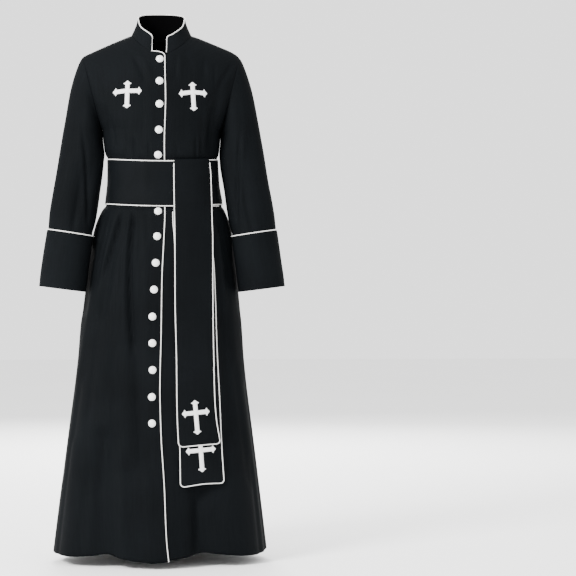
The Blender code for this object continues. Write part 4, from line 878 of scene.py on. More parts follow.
def cloth_object(name, grid, closed, axis, thickness, finish):
    """A cloth shell whose outer face is the grid."""
    rows, columns = grid.shape[:2]
    normals = finite_normals(grid, closed)
    turned = np.sum(normals * (grid - np.asarray(axis)[:, None, :])) < 0.0
    across = np.linalg.norm(np.diff(np.concatenate([grid, grid[:, :1]], axis=1), axis=1), axis=2)
    u = np.concatenate([np.zeros((rows, 1)), np.cumsum(across, axis=1)], axis=1)
    v = border_distance(grid, "first_row")
    v = np.concatenate([v, v[:, :1]], axis=1)
    faces, coordinates = [], []
    for i in range(rows - 1):
        for j in range(columns if closed else columns - 1):
            corners = [(i, j), (i, j + 1), (i + 1, j + 1), (i + 1, j)]
            if turned:
                corners.reverse()
            faces.append([row * columns + column % columns for row, column in corners])
            coordinates += [(u[row, column], v[row, column]) for row, column in corners]
    mesh = bpy.data.meshes.new(name)
    mesh.from_pydata(grid.reshape(-1, 3).tolist(), [], faces)
    layer = mesh.uv_layers.new(name="cut")
    layer.data.foreach_set("uv", np.array(coordinates).ravel())
    mesh.shade_smooth()
    item = add_piece(name, mesh, finish)
    if thickness:
        thicken = item.modifiers.new("Thickness", "SOLIDIFY")
        thicken.thickness = thickness
        thicken.offset = -1.0
        thicken.use_even_offset = False
        thicken.use_quality_normals = True
    return item


def add_piece(name, data, finish):
    item = bpy.data.objects.new(name, data)
    bpy.context.scene.collection.objects.link(item)
    data.materials.append(finish)
    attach(item, "root")
    return item


def cord_object(name, points, closed, finish, radius=None):
    """A round cord along a line of points."""
    curve = bpy.data.curves.new(name, "CURVE")
    curve.dimensions = "3D"
    curve.bevel_depth = radius or bpy.context.scene.robe_trim.piping_radius
    curve.bevel_resolution = 3
    curve.use_fill_caps = True
    spline = curve.splines.new("POLY")
    spline.points.add(len(points) - 1)
    for target, point in zip(spline.points, points):
        target.co = (*point, 1.0)
    spline.use_cyclic_u = closed
    spline.use_smooth = True
    return add_piece(name, curve, finish)


def thin_out(points, least):
    """Drop points that lie closer together than this."""
    kept = [points[0]]
    for point in points[1:-1]:
        if np.linalg.norm(np.asarray(point) - np.asarray(kept[-1])) >= least:
            kept.append(point)
    if np.linalg.norm(np.asarray(points[-1]) - np.asarray(kept[-1])) < least * 0.5:
        kept.pop()
    return kept + [points[-1]]


def beside(border, inside, normals, step):
    """A line stepped off a cloth edge, in the surface of the cloth."""
    border, inside = np.asarray(border), np.asarray(inside)
    line = []
    for i, point in enumerate(border):
        before, after = border[max(i - 1, 0)], border[min(i + 1, len(border) - 1)]
        away = np.cross(after - before, normals[i])
        away /= np.linalg.norm(away)
        if np.dot(away, inside[i] - point) > 0:
            away = -away
        line.append(point + away * step)
    return line


def surface_tree(*names):
    """A search tree of finished pieces' faces."""
    graph = bpy.context.evaluated_depsgraph_get()
    vertices, polygons = [], []
    for name in names:
        item = bpy.data.objects.get(name)
        if item is None:
            raise RuntimeError(f"{name} has to be made first")
        evaluated = item.evaluated_get(graph)
        mesh = evaluated.to_mesh()
        first = len(vertices)
        vertices += [item.matrix_world @ vertex.co for vertex in mesh.vertices]
        polygons += [tuple(first + k for k in polygon.vertices) for polygon in mesh.polygons]
        evaluated.to_mesh_clear()
    return BVHTree.FromPolygons(vertices, polygons)


def rim_line(grid, normals, start, stop, down, across, least):
    """The piping's line along a first column, the last row and the last column.

    It runs from one row to another, beside the points some rows and columns further in.
    """
    last_row, last_column = grid.shape[0] - 1, grid.shape[1] - 1
    places = [(i, 0) for i in range(start, last_row)]
    places += [(last_row, j) for j in range(last_column + 1)]
    places += [(i, last_column) for i in range(last_row - 1, stop - 1, -1)]
    inside = [grid[min(i, last_row - down), min(max(j, across), last_column - across)]
              for i, j in places]
    step = bpy.context.scene.robe_trim.piping_radius * CORD_STEP
    line = beside([grid[place] for place in places], inside, [normals[place] for place in places],
                  step)
    return thin_out(line, least)


# Finishes

# Scale of a wave texture for lines one metre apart, straight and diagonal
STRAIGHT_LINES = 0.314
DIAGONAL_LINES = 0.628


def finish_base(name, roughness, specular, extras=()):
    finish = bpy.data.materials.new(name)
    finish.use_nodes = True
    shader = finish.node_tree.nodes["Principled BSDF"]
    for key, value in (("Roughness", roughness), ("Specular IOR Level", specular), *extras):
        shader.inputs[key].default_value = value
    return finish, finish.node_tree, shader


def add_node(tree, kind, values=None, links=None, **settings):
    node = tree.nodes.new("ShaderNode" + kind)
    for key, value in settings.items():
        setattr(node, key, value)
    for key, value in (values or {}).items():
        node.inputs[key].default_value = value
    for key, socket in (links or {}).items():
        tree.links.new(socket, node.inputs[key])
    return node


def places_of(tree, kind="Object"):
    return add_node(tree, "TexCoord").outputs[kind]


def threads_along(tree, places, direction, scale, distortion, detail=1.0, detail_scale=1.0):
    """Close parallel lines, slightly uneven."""
    values = {"Scale": scale, "Distortion": distortion, "Detail": detail,
              "Detail Scale": detail_scale}
    return add_node(tree, "TexWave", values, {"Vector": places}, wave_type="BANDS",
                    bands_direction=direction).outputs["Fac"]


def clouds_over(tree, places, scale, detail, roughness=0.5):
    values = {"Scale": scale, "Detail": detail, "Roughness": roughness}
    return add_node(tree, "TexNoise", values, {"Vector": places}).outputs["Fac"]


def raised(tree, height, strength, distance, links=None):
    return add_node(tree, "Bump", {"Strength": strength, "Distance": distance},
                    {"Height": height, **(links or {})}).outputs["Normal"]


def finish_with(tree, shader, colour, normal=None):
    tree.links.new(colour, shader.inputs["Base Color"])
    if normal is not None:
        tree.links.new(normal, shader.inputs["Normal"])


def colour_ramp(tree, factor, dark, light, low=0.3, high=0.7):
    ramp = add_node(tree, "ValToRGB", links={"Fac": factor})
    for stop, position, colour in zip(ramp.color_ramp.elements, (low, high), (dark, light)):
        stop.position = position
        stop.color = (*colour, 1.0)
    return ramp.outputs["Color"]


def scaled(colour, factor):
    return tuple(min(channel * factor, 1.0) for channel in colour)


def cloth_finish(name, colour, pitch, roughness, slub, diagonal=True):
    """Woven cloth: fine lines of the weave, slubs along the grain, slight changes of tone."""
    if name in bpy.data.materials:
        return bpy.data.materials[name]
    finish, tree, shader = finish_base(name, roughness, 0.03)
    cut, places = places_of(tree, "UV"), places_of(tree)
    if diagonal:
        weave = threads_along(tree, cut, "DIAGONAL", DIAGONAL_LINES / pitch, 0.6, 1.0, 1.5)
    else:
        weave = threads_along(tree, cut, "X", STRAIGHT_LINES / pitch, 0.6, 1.0, 1.5)
    weft = threads_along(tree, cut, "Y", STRAIGHT_LINES / pitch, 0.4)
    grain = add_node(tree, "Mapping", {"Scale": (260.0, 9.0, 1.0)}, {"Vector": cut})
    slubs = clouds_over(tree, grain.outputs["Vector"], 1.0, 3.0, 0.6)
    tone = clouds_over(tree, places, 5.0, 4.0, 0.55)
    mixed = add_node(tree, "Math", {1: slub}, {0: slubs, 2: tone}, operation="MULTIPLY_ADD")
    base = colour_ramp(tree, mixed.outputs["Value"], scaled(colour, 0.78), scaled(colour, 1.25),
                       0.3 + 0.5 * slub, 0.7 + 0.5 * slub)
    woven = add_node(tree, "Math", links={0: weave, 1: weft}, operation="ADD")
    fine = raised(tree, woven.outputs["Value"], 0.35, 0.00012)
    crumple = clouds_over(tree, places, 26.0, 3.0)
    finish_with(tree, shader, base, raised(tree, crumple, 0.30, 0.0016, {"Normal": fine}))
    return finish


def robe_cloth_finish():
    cloth = bpy.context.scene.robe_cloth
    return cloth_finish("black_twill", tuple(cloth.colour), cloth.twill_pitch, 0.74, 0.5)


def belt_cloth_finish():
    cloth = bpy.context.scene.robe_cloth
    return cloth_finish("black_satin", tuple(cloth.belt_colour), 0.0006, 0.62, 0.35, False)


def piping_finish():
    """Satin wound tight over a cord."""
    name = "white_satin_piping"
    if name in bpy.data.materials:
        return bpy.data.materials[name]
    colour = tuple(bpy.context.scene.robe_trim.piping_colour)
    finish, tree, shader = finish_base(name, 0.42, 0.45, [("Sheen Weight", 0.25)])
    places = places_of(tree)
    tone = clouds_over(tree, places, 160.0, 2.0)
    wound = threads_along(tree, places, "DIAGONAL", 520.0, 1.2)
    base = colour_ramp(tree, tone, scaled(colour, 0.80), colour)
    finish_with(tree, shader, base, raised(tree, wound, 0.4, 0.00015))
    return finish


def stitched_finish(name, colour, pitch):
    """Satin stitch: close threads laid across each arm."""
    if name in bpy.data.materials:
        return bpy.data.materials[name]
    finish, tree, shader = finish_base(name, 0.48, 0.4, [("Sheen Weight", 0.2)])
    threads = threads_along(tree, places_of(tree, "UV"), "X", STRAIGHT_LINES / pitch, 0.8, 2.0)
    base = colour_ramp(tree, threads, scaled(colour, 0.72), colour, 0.0, 0.6)
    finish_with(tree, shader, base, raised(tree, threads, 0.6, 0.0002))
    return finish


def button_finish():
    """Glossy moulded white with faint clouding."""
    name = "white_button"
    if name in bpy.data.materials:
        return bpy.data.materials[name]
    colour = tuple(bpy.context.scene.robe_trim.button_colour)
    finish, tree, shader = finish_base(name, 0.22, 0.5,
                                       [("Coat Weight", 0.3), ("Coat Roughness", 0.12)])
    clouds = clouds_over(tree, places_of(tree), 90.0, 3.0)
    base = colour_ramp(tree, clouds, scaled(colour, 0.92), colour)
    finish_with(tree, shader, base, raised(tree, clouds, 0.12, 0.0002))
    return finish


def floor_finish(colour):
    finish, tree, shader = finish_base("pale_floor", 0.85, 0.2)
    tone = clouds_over(tree, places_of(tree), 0.8, 2.0)
    finish_with(tree, shader, colour_ramp(tree, tone, scaled(colour, 0.985), colour))
    return finish


# Panels

def sew_at_waist(panel, levels_up, whole):
    """Make a panel's bodice and skirt, which meet at the waist seam under the belt."""
    seam = min(range(len(levels_up)), key=lambda i: abs(UNDERARM_DROP - levels_up[i] - WAIST_SEAM))
    half_gap = np.array([0.0, 0.0, GAP / 2.0])
    items = []
    for part, rows, edge, shift in (("bodice_", slice(seam, None), 0, half_gap),
                                    ("skirt_", slice(None, seam + 1), -1, -half_gap)):
        grid = whole[rows].copy()
        grid[edge] += shift
        item = cloth_object("cloth_" + part + panel, grid, False, body_axis(grid),
                            bpy.context.scene.robe_cloth.wall, robe_cloth_finish())
        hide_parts(part + panel)
        items.append(item)
    return items


def press_panel(grid, levels_up, centre_seam=None):
    """Press a panel's seams and hem, and return the normals that it had before."""
    ease_chest(grid, levels_up)
    normals = outward_normals(grid, False, body_axis(grid))
    press_seam(grid, normals, "last_column", side_strengths(levels_up))
    press_seam(grid, normals, "last_row")
    if centre_seam:
        press_seam(grid, normals, "first_column", centre_seam)
    press_hem(grid, normals, "first_row")
    return normals


def keep_at_side(grid, levels_up, facing):
    """Keep the side seam and the shoulder seam in front of the side plane, or behind it."""
    seam = [grid[i, -1] for i, level in enumerate(levels_up) if level <= 0.0 or level >= 1.0]
    for point in seam + list(grid[-1]):
        keep_side(point, np.array([0.0, SIDE_PLANE, 0.0]), np.array([0.0, facing, 0.0]), GAP / 2.0)


def widened(normals):
    """Normals with two more columns for a seam allowance."""
    return np.concatenate([normals, normals[:, -1:], normals[:, -1:]], axis=1)


def make_front(side):
    levels_up, grid = front_grid(side)
    normals = press_panel(grid, levels_up)
    keep_at_side(grid, levels_up, -1.0)
    whole = turn_under(grid, normals, "last_column")
    whole = turn_under(whole, widened(normals), "last_row")
    return sew_at_waist("front_" + SIDE_WORDS[side], levels_up, whole), levels_up, grid, normals


def make_back(side):
    levels_up, grid = back_grid(side)
    below_neck = [i for i, level in enumerate(levels_up) if level <= NECK_SHARE]
    normals = press_panel(grid, levels_up, [float(level <= NECK_SHARE) for level in levels_up])
    keep_at_side(grid, levels_up, 1.0)
    for i in below_neck:
        keep_side(grid[i, 0], np.zeros(3), np.array([float(side), 0.0, 0.0]), GAP / 2.0)
    in_armhole = [i for i, level in enumerate(levels_up) if level > 0.01]
    whole = turn_under(grid, normals, "last_column", in_armhole)
    if side < 0:
        whole = turn_under(whole, widened(normals), "first_column", below_neck)
    return sew_at_waist("back_" + SIDE_WORDS[side], levels_up, whole)


# The level that the piping on the right front's edge runs up to, inside the notch
EDGE_PIPING_END = 0.661


def front_edge_line(levels_up, grid, normals):
    """The piping's line up the right front's edge and along the bottom of the notch."""
    trim = bpy.context.scene.robe_trim
    wall = bpy.context.scene.robe_cloth.wall
    end = max(i for i, level in enumerate(levels_up) if level <= EDGE_PIPING_END)
    middle = grid - normals * wall / 2.0
    border = [middle[i, 0] for i in range(end + 1)]
    inside = [middle[i, 3] for i in range(end + 1)]
    for i in range(end - 6, end + 1):
        inside[i] = middle[end - 10, 6]
    line = beside(border, inside, normals[:end + 1, 1], trim.piping_radius * CORD_STEP)
    return thin_out(line, 0.0035)


class RobeClothSizes(bpy.types.PropertyGroup):
    wall: FloatProperty(name="Cloth", description="Thickness of the robe's cloth", default=0.0013,
        min=0.0005, max=0.003, unit="LENGTH", precision=4)
    belt_wall: FloatProperty(name="Belt cloth", description="Thickness of the belt",
        default=0.0020, min=0.0005, max=0.004, unit="LENGTH", precision=4)
    fall_wall: FloatProperty(name="Fall cloth", description="Thickness of the falls",
        default=0.0014, min=0.0005, max=0.003, unit="LENGTH", precision=4)
    collar_wall: FloatProperty(name="Collar cloth", description="Thickness of the collar",
        default=0.0017, min=0.0005, max=0.003, unit="LENGTH", precision=4)
    ripple: FloatProperty(name="Ripple", description="Unevenness of the hanging cloth",
        default=0.0026, min=0.0, max=0.008, unit="LENGTH", precision=4)
    seam_depth: FloatProperty(name="Seam depth", description="How far a seam draws the cloth in",
        default=0.0011, min=0.0, max=0.003, unit="LENGTH", precision=4)
    seam_width: FloatProperty(name="Seam width", description="Reach of a seam on each side",
        default=0.0030, min=0.001, max=0.02, unit="LENGTH", precision=4)
    pucker: FloatProperty(name="Pucker", description="Length of one pucker along a seam",
        default=0.013, min=0.004, max=0.05, unit="LENGTH", precision=4)
    hem_height: FloatProperty(name="Hem", description="Height of the turned hem's stitch line",
        default=0.030, min=0.01, max=0.08, unit="LENGTH")
    allowance: FloatProperty(name="Seam allowance", description="Cloth turned under at a seam",
        default=0.006, min=0.0, max=0.02, unit="LENGTH")
    twill_pitch: FloatProperty(name="Twill pitch", description="Distance between two twill lines",
        default=0.0011, min=0.0003, max=0.005, unit="LENGTH", precision=4)
    colour: FloatVectorProperty(name="Cloth colour", description="Colour of the robe's cloth",
        default=(0.0024, 0.0030, 0.0036), min=0.0, max=1.0, subtype="COLOR")
    belt_colour: FloatVectorProperty(name="Belt colour",
        description="Colour of the belt and falls", default=(0.0023, 0.0029, 0.0035), min=0.0,
        max=1.0, subtype="COLOR")


class RobeTrimSizes(bpy.types.PropertyGroup):
    piping_radius: FloatProperty(name="Piping", description="Radius of the piping cord",
        default=0.0014, min=0.0005, max=0.004, unit="LENGTH", precision=4)
    piping_colour: FloatVectorProperty(name="Piping colour", description="Colour of the piping",
        default=(0.72, 0.71, 0.69), min=0.0, max=1.0, subtype="COLOR")
    button_radius: FloatProperty(name="Button", description="Radius of a button", default=0.0100,
        min=0.004, max=0.02, unit="LENGTH", precision=4)
    button_height: FloatProperty(name="Button height", description="Height of a button's dome",
        default=0.0070, min=0.002, max=0.015, unit="LENGTH", precision=4)
    button_sides: IntProperty(name="Button sides", description="Steps round a button", default=32,
        min=8, max=96)
    button_colour: FloatVectorProperty(name="Button colour", description="Colour of the buttons",
        default=(0.84, 0.84, 0.83), min=0.0, max=1.0, subtype="COLOR")
    cross_height: FloatProperty(name="Cross height", description="Height of the padded stitching",
        default=0.0016, min=0.0005, max=0.004, unit="LENGTH", precision=4)
    cross_edge: FloatProperty(name="Cross edge", description="Radius of the crosses' edge cord",
        default=0.0006, min=0.0002, max=0.002, unit="LENGTH", precision=4)
    thread_pitch: FloatProperty(name="Thread pitch", description="Distance between two threads",
        default=0.0007, min=0.0002, max=0.002, unit="LENGTH", precision=4)
    cross_colour: FloatVectorProperty(name="Cross colour", description="Colour of the crosses",
        default=(0.86, 0.86, 0.85), min=0.0, max=1.0, subtype="COLOR")
    edge_colour: FloatVectorProperty(name="Edge colour",
        description="Colour of the crosses' edges", default=(0.42, 0.42, 0.42), min=0.0, max=1.0,
        subtype="COLOR")


class RobeStageSizes(bpy.types.PropertyGroup):
    floor_drop: FloatProperty(name="Floor", description="Distance of the floor below the hem",
        default=0.020, min=0.0, max=0.5, unit="LENGTH")
    floor_colour: FloatVectorProperty(name="Floor colour", description="Colour of the floor",
        default=(0.92, 0.92, 0.915), min=0.0, max=1.0, subtype="COLOR")
    sky: FloatProperty(name="Surround", description="Brightness of the surround", default=2.0,
        min=0.0, max=5.0)
    key_power: FloatProperty(name="Key light", description="Power of the light at the left front",
        default=420.0, min=0.0, max=2000.0, unit="POWER")
    fill_power: FloatProperty(name="Fill light",
        description="Power of the light at the right front", default=10.0, min=0.0, max=2000.0,
        unit="POWER")
    back_power: FloatProperty(name="Back lights",
        description="Power of the brighter light behind", default=300.0, min=0.0, max=2000.0,
        unit="POWER")


SIDE_WORDS = {-1: "right", 1: "left"}


class ROBE_OT_fronts(bpy.types.Operator):
    """Make the two fronts and the piping on the right one's edge"""
    bl_idname = "robe.fronts"
    bl_label = "Fronts"
    bl_options = {"REGISTER", "UNDO"}

    def execute(self, context):
        left = make_front(1)[0]
        right, levels_up, grid, normals = make_front(-1)
        line = front_edge_line(levels_up, grid, normals)
        edge = cord_object("cord_front", line, False, piping_finish())
        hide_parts("piping_front")
        return {"FINISHED"}


class ROBE_OT_backs(bpy.types.Operator):
    """Make the two halves of the back"""
    bl_idname = "robe.backs"
    bl_label = "Backs"
    bl_options = {"REGISTER", "UNDO"}

    def execute(self, context):
        for side, word in SIDE_WORDS.items():
            bodice, skirt = make_back(side)
        return {"FINISHED"}


# Points round a sleeve or a cuff
SLEEVE_TURNS = 80

# How far each sleeve's inner face leans to the body below the armhole, by station
UNDERARM_EASE = {-1: [0.0009, 0.0027, 0.0030, 0.0025, 0.0018, 0.0019, 0.0],
                 1: [0.0002, 0.0012, 0.0021, 0.0018, 0.0011, 0.0015, 0.0]}

# Long creases that slant round the sleeve: degrees round it at the first and last station
SlantCrease = namedtuple("SlantCrease", "around end first last width depth")
SLANT_CREASES = [SlantCrease(*row) for row in (
    (80, 138, 3.6, 10.6, 5, -0.0046), (70, 126, 3.8, 10.2, 8, 0.0022),
    (100, 96, 6.5, 11.0, 7, -0.0016), (262, 226, 3.8, 10.6, 6, -0.004),
    (274, 240, 4.0, 10.2, 8, 0.002),
)]


def slant_round(degrees, station):
    total = 0.0
    for crease in SLANT_CREASES:
        if not crease.first < station < crease.last:
            continue
        share = (station - crease.first) / (crease.last - crease.first)
        centre = crease.around + (crease.end - crease.around) * share
        ends = smoothstep(share / 0.35) * smoothstep((1.0 - share) / 0.2)
        total += crease.depth * ends * bell(turned_from(degrees, centre), crease.width)
    return total


def sleeve_grid(side):
    curves = sleeve_curves(SLEEVE)
    lean = smooth_curve(range(7), UNDERARM_EASE[side])
    last = float(len(SLEEVE) - 1)
    stations = runs(0.0, (0.3, 5), (1.0, 6), (last, 120))
    turns = spread(0.0, 2.0 * math.pi, SLEEVE_TURNS)
    grid = np.zeros((len(stations), len(turns), 3))
    for i, station in enumerate(stations):
        for j, turn in enumerate(turns):
            degrees = math.degrees(turn)
            out = (crease_round(SLEEVE_FOLDS, degrees, station)
                   + crease_round(SLEEVE_CREASES, degrees, station))
            spot = round_spot(1.3, turn, station * 0.55 + 9.0 * side)
            edge = smoothstep(station / 1.2) * smoothstep((last - station) / 2.5)
            out += 0.0016 * edge * (noise.noise(spot) - 0.5)
            inward = max(-math.cos(turn), 0.0) ** 2
            fade = smoothstep(station / 0.8) * smoothstep((6.5 - station) / 2.5)
            out += 0.0014 * fade * inward + slant_round(degrees, station)
            grid[i, j] = sleeve_point(curves, station, turn, side, out)
            grid[i, j, 0] -= side * lean(station) * inward
    return grid


def make_cuff_grid(side):
    curves = sleeve_curves(CUFF)
    last = float(len(CUFF) - 1)
    stations = runs(0.0, (last, 40))
    turns = spread(0.0, 2.0 * math.pi, SLEEVE_TURNS)
    grid = np.zeros((len(stations), len(turns), 3))
    for i, station in enumerate(stations):
        for j, turn in enumerate(turns):
            spot = round_spot(1.5, turn, station * 0.5 + 5.0 * side)
            uneven = 0.0010 * (noise.noise(spot) - 0.3) * smoothstep(station / 0.8)
            grid[i, j] = cuff_point(curves, station, turn, side, CUFF_STAND + uneven)
    return grid


class ROBE_OT_sleeves(bpy.types.Operator):
    """Make the sleeves, their cuffs and the cuffs' piping"""
    bl_idname = "robe.sleeves"
    bl_label = "Sleeves and cuffs"
    bl_options = {"REGISTER", "UNDO"}

    def execute(self, context):
        cloth = context.scene.robe_cloth
        for side, word in SIDE_WORDS.items():
            grid = sleeve_grid(side)
            axis = grid.mean(axis=1)
            normals = outward_normals(grid, True, axis)
            upper = normals * np.array([max(math.cos(turn), 0.0) for turn in
                                        spread(0.0, 2.0 * math.pi, grid.shape[1])])[None, :, None]
            press_seam(grid, upper, "first_row")
            grid = turn_under(grid, normals, "first_row")
            axis = grid.mean(axis=1)
            item = cloth_object("cloth_sleeve_" + word, grid, True, axis, cloth.wall,
                                robe_cloth_finish())
            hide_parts("sleeve_" + word)
            grid = make_cuff_grid(side)
            axis = grid.mean(axis=1)
            normals = outward_normals(grid, True, axis)
            press_seam(grid, normals, "first_row")
            press_hem(grid, normals, "last_row", 0.012)
            band = cloth_object("cloth_cuff_" + word, grid, True, axis, cloth.wall,
                                robe_cloth_finish())
            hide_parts("cuff_" + word)
            curves = sleeve_curves(CUFF)
            up = np.array([0.0, 0.0, context.scene.robe_trim.piping_radius * CORD_STEP])
            rim = [cuff_point(curves, 0.0, turn, side, CUFF_PIPING_STAND) + up
                   for turn in spread(0.0, 2.0 * math.pi, SLEEVE_TURNS)]
            edge = cord_object("cord_cuff_" + word, rim, True, piping_finish())
            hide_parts("piping_cuff_" + word)
        return {"FINISHED"}


# The collar's length round the neck and the rounding of its two front corners
COLLAR_LENGTH = 0.45
COLLAR_CORNER = 0.007


def collar_grid(columns, rows):
    start, end = math.radians(COLLAR_RIGHT_END), math.radians(COLLAR_LEFT_END - 360.0)
    power = 2.0 / COLLAR_ROUNDNESS
    shares = [0.0, 0.0025] + panel_columns(columns)[1:-1] + [0.9975, 1.0]
    grid = np.zeros((rows + 1, len(shares), 3))
    for k, across in enumerate(shares):
        angle = start + (end - start) * across
        base = neck_seam_point(angle) + np.array([0.0, 0.0, COLLAR_SEAM_GAP])
        sine, cosine = math.sin(angle), math.cos(angle)
        reach = COLLAR_FRONT if cosine > 0 else COLLAR_BACK
        x = COLLAR_HALF * math.copysign(abs(sine) ** power, sine)
        y = SIDE_PLANE - reach * math.copysign(abs(cosine) ** power, cosine)
        top = np.array([x, y, COLLAR_TOP_DROP(y)])
        corner = max(1.0 - min(across, 1.0 - across) * COLLAR_LENGTH / COLLAR_CORNER, 0.0)
        top[2] -= COLLAR_CORNER * (1.0 - math.sqrt(1.0 - corner ** 2))
        for row in range(rows + 1):
            share = row / rows
            point = top + (base - top) * (1.0 - share) ** COLLAR_FLARE
            point[2] = base[2] + (top[2] - base[2]) * share
            grid[row, k] = point
    return grid


class ROBE_OT_collar(bpy.types.Operator):
    """Make the stand collar and its piping"""
    bl_idname = "robe.collar"
    bl_label = "Collar"
    bl_options = {"REGISTER", "UNDO"}

    def execute(self, context):
        cloth = context.scene.robe_cloth
        grid = collar_grid(110, 16)
        axis = grid.mean(axis=1)
        normals = outward_normals(grid, False, axis)
        press_seam(grid, normals * 0.2, "first_row")
        whole = turn_under(grid, normals, "first_row", wall=cloth.collar_wall)
        item = cloth_object("cloth_collar", whole, False, whole.mean(axis=1), cloth.collar_wall,
                            robe_cloth_finish())
        # The collar's inner face gets a near-black copy of the robe's cloth: painted shade inside
        # the collar, not a different cloth
        item.data.materials.append(cloth_finish("collar_inside", (0.0003, 0.0003, 0.0004),
                                                cloth.twill_pitch, 0.9, 0.5))
        item.modifiers["Thickness"].material_offset = 1
        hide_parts("collar")
        middle = grid - normals * cloth.collar_wall / 2.0
        line = rim_line(middle, normals, 1, 2, 2, 2, 0.0022)
        edge = cord_object("cord_collar", line, False, piping_finish())
        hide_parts("piping_collar")
        return {"FINISHED"}


# Where the belt lies flat under the falls: middle and reach in degrees
BELT_FLAT_AT = 34.0
BELT_FLAT_REACH = 30.0

# The short end of cord below the belt: drop and x of its first and last point
BELT_END_DROP = (BELT_BOTTOM + 0.0048, BELT_BOTTOM + 0.0058)
BELT_END_X = (0.1285, 0.1485)


def belt_grid():
    angles = spread(0.0, 2.0 * math.pi, 220)
    drops = runs(BELT_BOTTOM, (BELT_TOP, 20))
    half = bpy.context.scene.robe_cloth.belt_wall / 2.0
    grid = np.zeros((len(drops), len(angles), 3))
    for i, drop in enumerate(drops):
        edge = min(drop - BELT_TOP, BELT_BOTTOM - drop)
        for j, angle in enumerate(angles):
            uneven = 0.0
            if abs(math.degrees(angle) - BELT_FLAT_AT) >= BELT_FLAT_REACH:
                uneven = noise.noise(round_spot(2.2, angle, drop * 26.0))
                uneven = 0.0007 * uneven * smoothstep(edge / 0.02)
            grid[i, j] = waist_point(angle, drop, belt_stand(angle, drop) + half + uneven)
    return grid


class ROBE_OT_belt(bpy.types.Operator):
    """Make the belt and the piping on its edges"""
    bl_idname = "robe.belt"
    bl_label = "Belt"
    bl_options = {"REGISTER", "UNDO"}

    def execute(self, context):
        cloth = context.scene.robe_cloth
        trim = context.scene.robe_trim
        grid = belt_grid()
        axis = grid.mean(axis=1)
        item = cloth_object("cloth_belt", grid, True, axis, cloth.belt_wall,
                            belt_cloth_finish())
        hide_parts("belt")
        normals = outward_normals(grid, True, axis)
        middle = grid - normals * cloth.belt_wall / 2.0
        step = np.array([0.0, 0.0, trim.piping_radius * CORD_STEP])
        top = cord_object("cord_belt_top", list(middle[-1] + step), True, piping_finish())
        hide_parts("piping_belt_top")
        bottom = cord_object("cord_belt_bottom", list(middle[0] - step), True, piping_finish())
        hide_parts("piping_belt_bottom")
        under = []
        for share in np.linspace(0.0, 1.0, 13):
            drop = BELT_END_DROP[0] + (BELT_END_DROP[1] - BELT_END_DROP[0]) * share
            x = BELT_END_X[0] + (BELT_END_X[1] - BELT_END_X[0]) * share
            under.append(waist_point(front_angle(x, drop), drop, 0.0026 - 0.0006 * share))
        end = cord_object("cord_belt_end", under, False, piping_finish(), trim.piping_radius * 0.9)
        return {"FINISHED"}


def fall_crease(drop):
    return sum(crease.depth * bell(drop - crease.drop, crease.width) for crease in FALL_CREASES)


def fall_line(sections, drop, stand, inset, down, columns):
    left = column_curve(sections, "drop", "left")(drop) + FALL_EDGE + inset
    right = column_curve(sections, "drop", "right")(drop) - FALL_EDGE - inset
    row = []
    for k in range(columns + 1):
        share = k / columns
        angle = front_angle(left + (right - left) * share, drop)
        point = waist_point(angle, drop, stand)
        slant = FALL_SLANT * (share - 0.5) * smoothstep((drop - sections[0].drop) / 0.6)
        row.append(point + np.array([0.0, 0.0, down - slant]))
    return row


def corner_inset(drop, last):
    below = FALL_CORNER - (last - drop)
    if below <= 0.0:
        return 0.0
    return FALL_CORNER - math.sqrt(max(FALL_CORNER ** 2 - below ** 2, 0.0))


def hanging_rows(first, last):
    drops = runs(first, (FALL_EVEN, 40), (last - FALL_CORNER, 90))[:-1]
    return drops + [last - FALL_CORNER * math.cos(math.pi / 2.0 * k / 12) for k in range(13)]


def fall_front_grid(columns):
    tuck = [BELT_TOP + TUCK_LENGTH * (1.0 - k / 8) for k in range(9)]
    rows = [fall_line(FALL_FRONT, drop, TUCK_STAND, 0.0, 0.0, columns) for drop in tuck]
    radius = (OVER_BELT_STAND - TUCK_STAND) / 2.0
    centre = (OVER_BELT_STAND + TUCK_STAND) / 2.0
    for step in range(17):
        turn = math.pi * step / 16
        stand = centre - radius * math.cos(turn)
        rise = PIPING_STEP + radius * math.sin(turn)
        rows.append(fall_line(FALL_FRONT, BELT_TOP, stand, 0.0, rise, columns))
    first = len(rows)
    stands = smooth_curve([0.33, BELT_BOTTOM, 0.470, FALL_EVEN, 1.1],
                          [OVER_BELT_STAND, OVER_BELT_STAND + 0.0006, OVER_BELT_STAND - 0.0002,
                           FALL_FRONT_STAND + 0.0004, FALL_FRONT_STAND])
    for drop in hanging_rows(BELT_TOP + 0.005, FALL_FRONT_END):
        inset = corner_inset(drop, FALL_FRONT_END)
        stand = stands(drop) + fall_crease(drop)
        rows.append(fall_line(FALL_FRONT, drop, stand, inset, 0.0, columns))
    return np.array(rows), first


def fall_back_grid(columns):
    stands = smooth_curve([0.42, UNDER_BELT, BELOW_BELT, 1.2],
                          [TUCK_STAND, TUCK_STAND, FALL_BACK_STAND, FALL_BACK_STAND])
    drops = hanging_rows(FALL_BACK_START, FALL_BACK_END)
    rows = [fall_line(FALL_BACK, drop, stands(drop), corner_inset(drop, FALL_BACK_END), 0.0,
                      columns) for drop in drops]
    first = min(i for i, drop in enumerate(drops) if drop > FALL_BACK_CORD)
    return np.array(rows), first


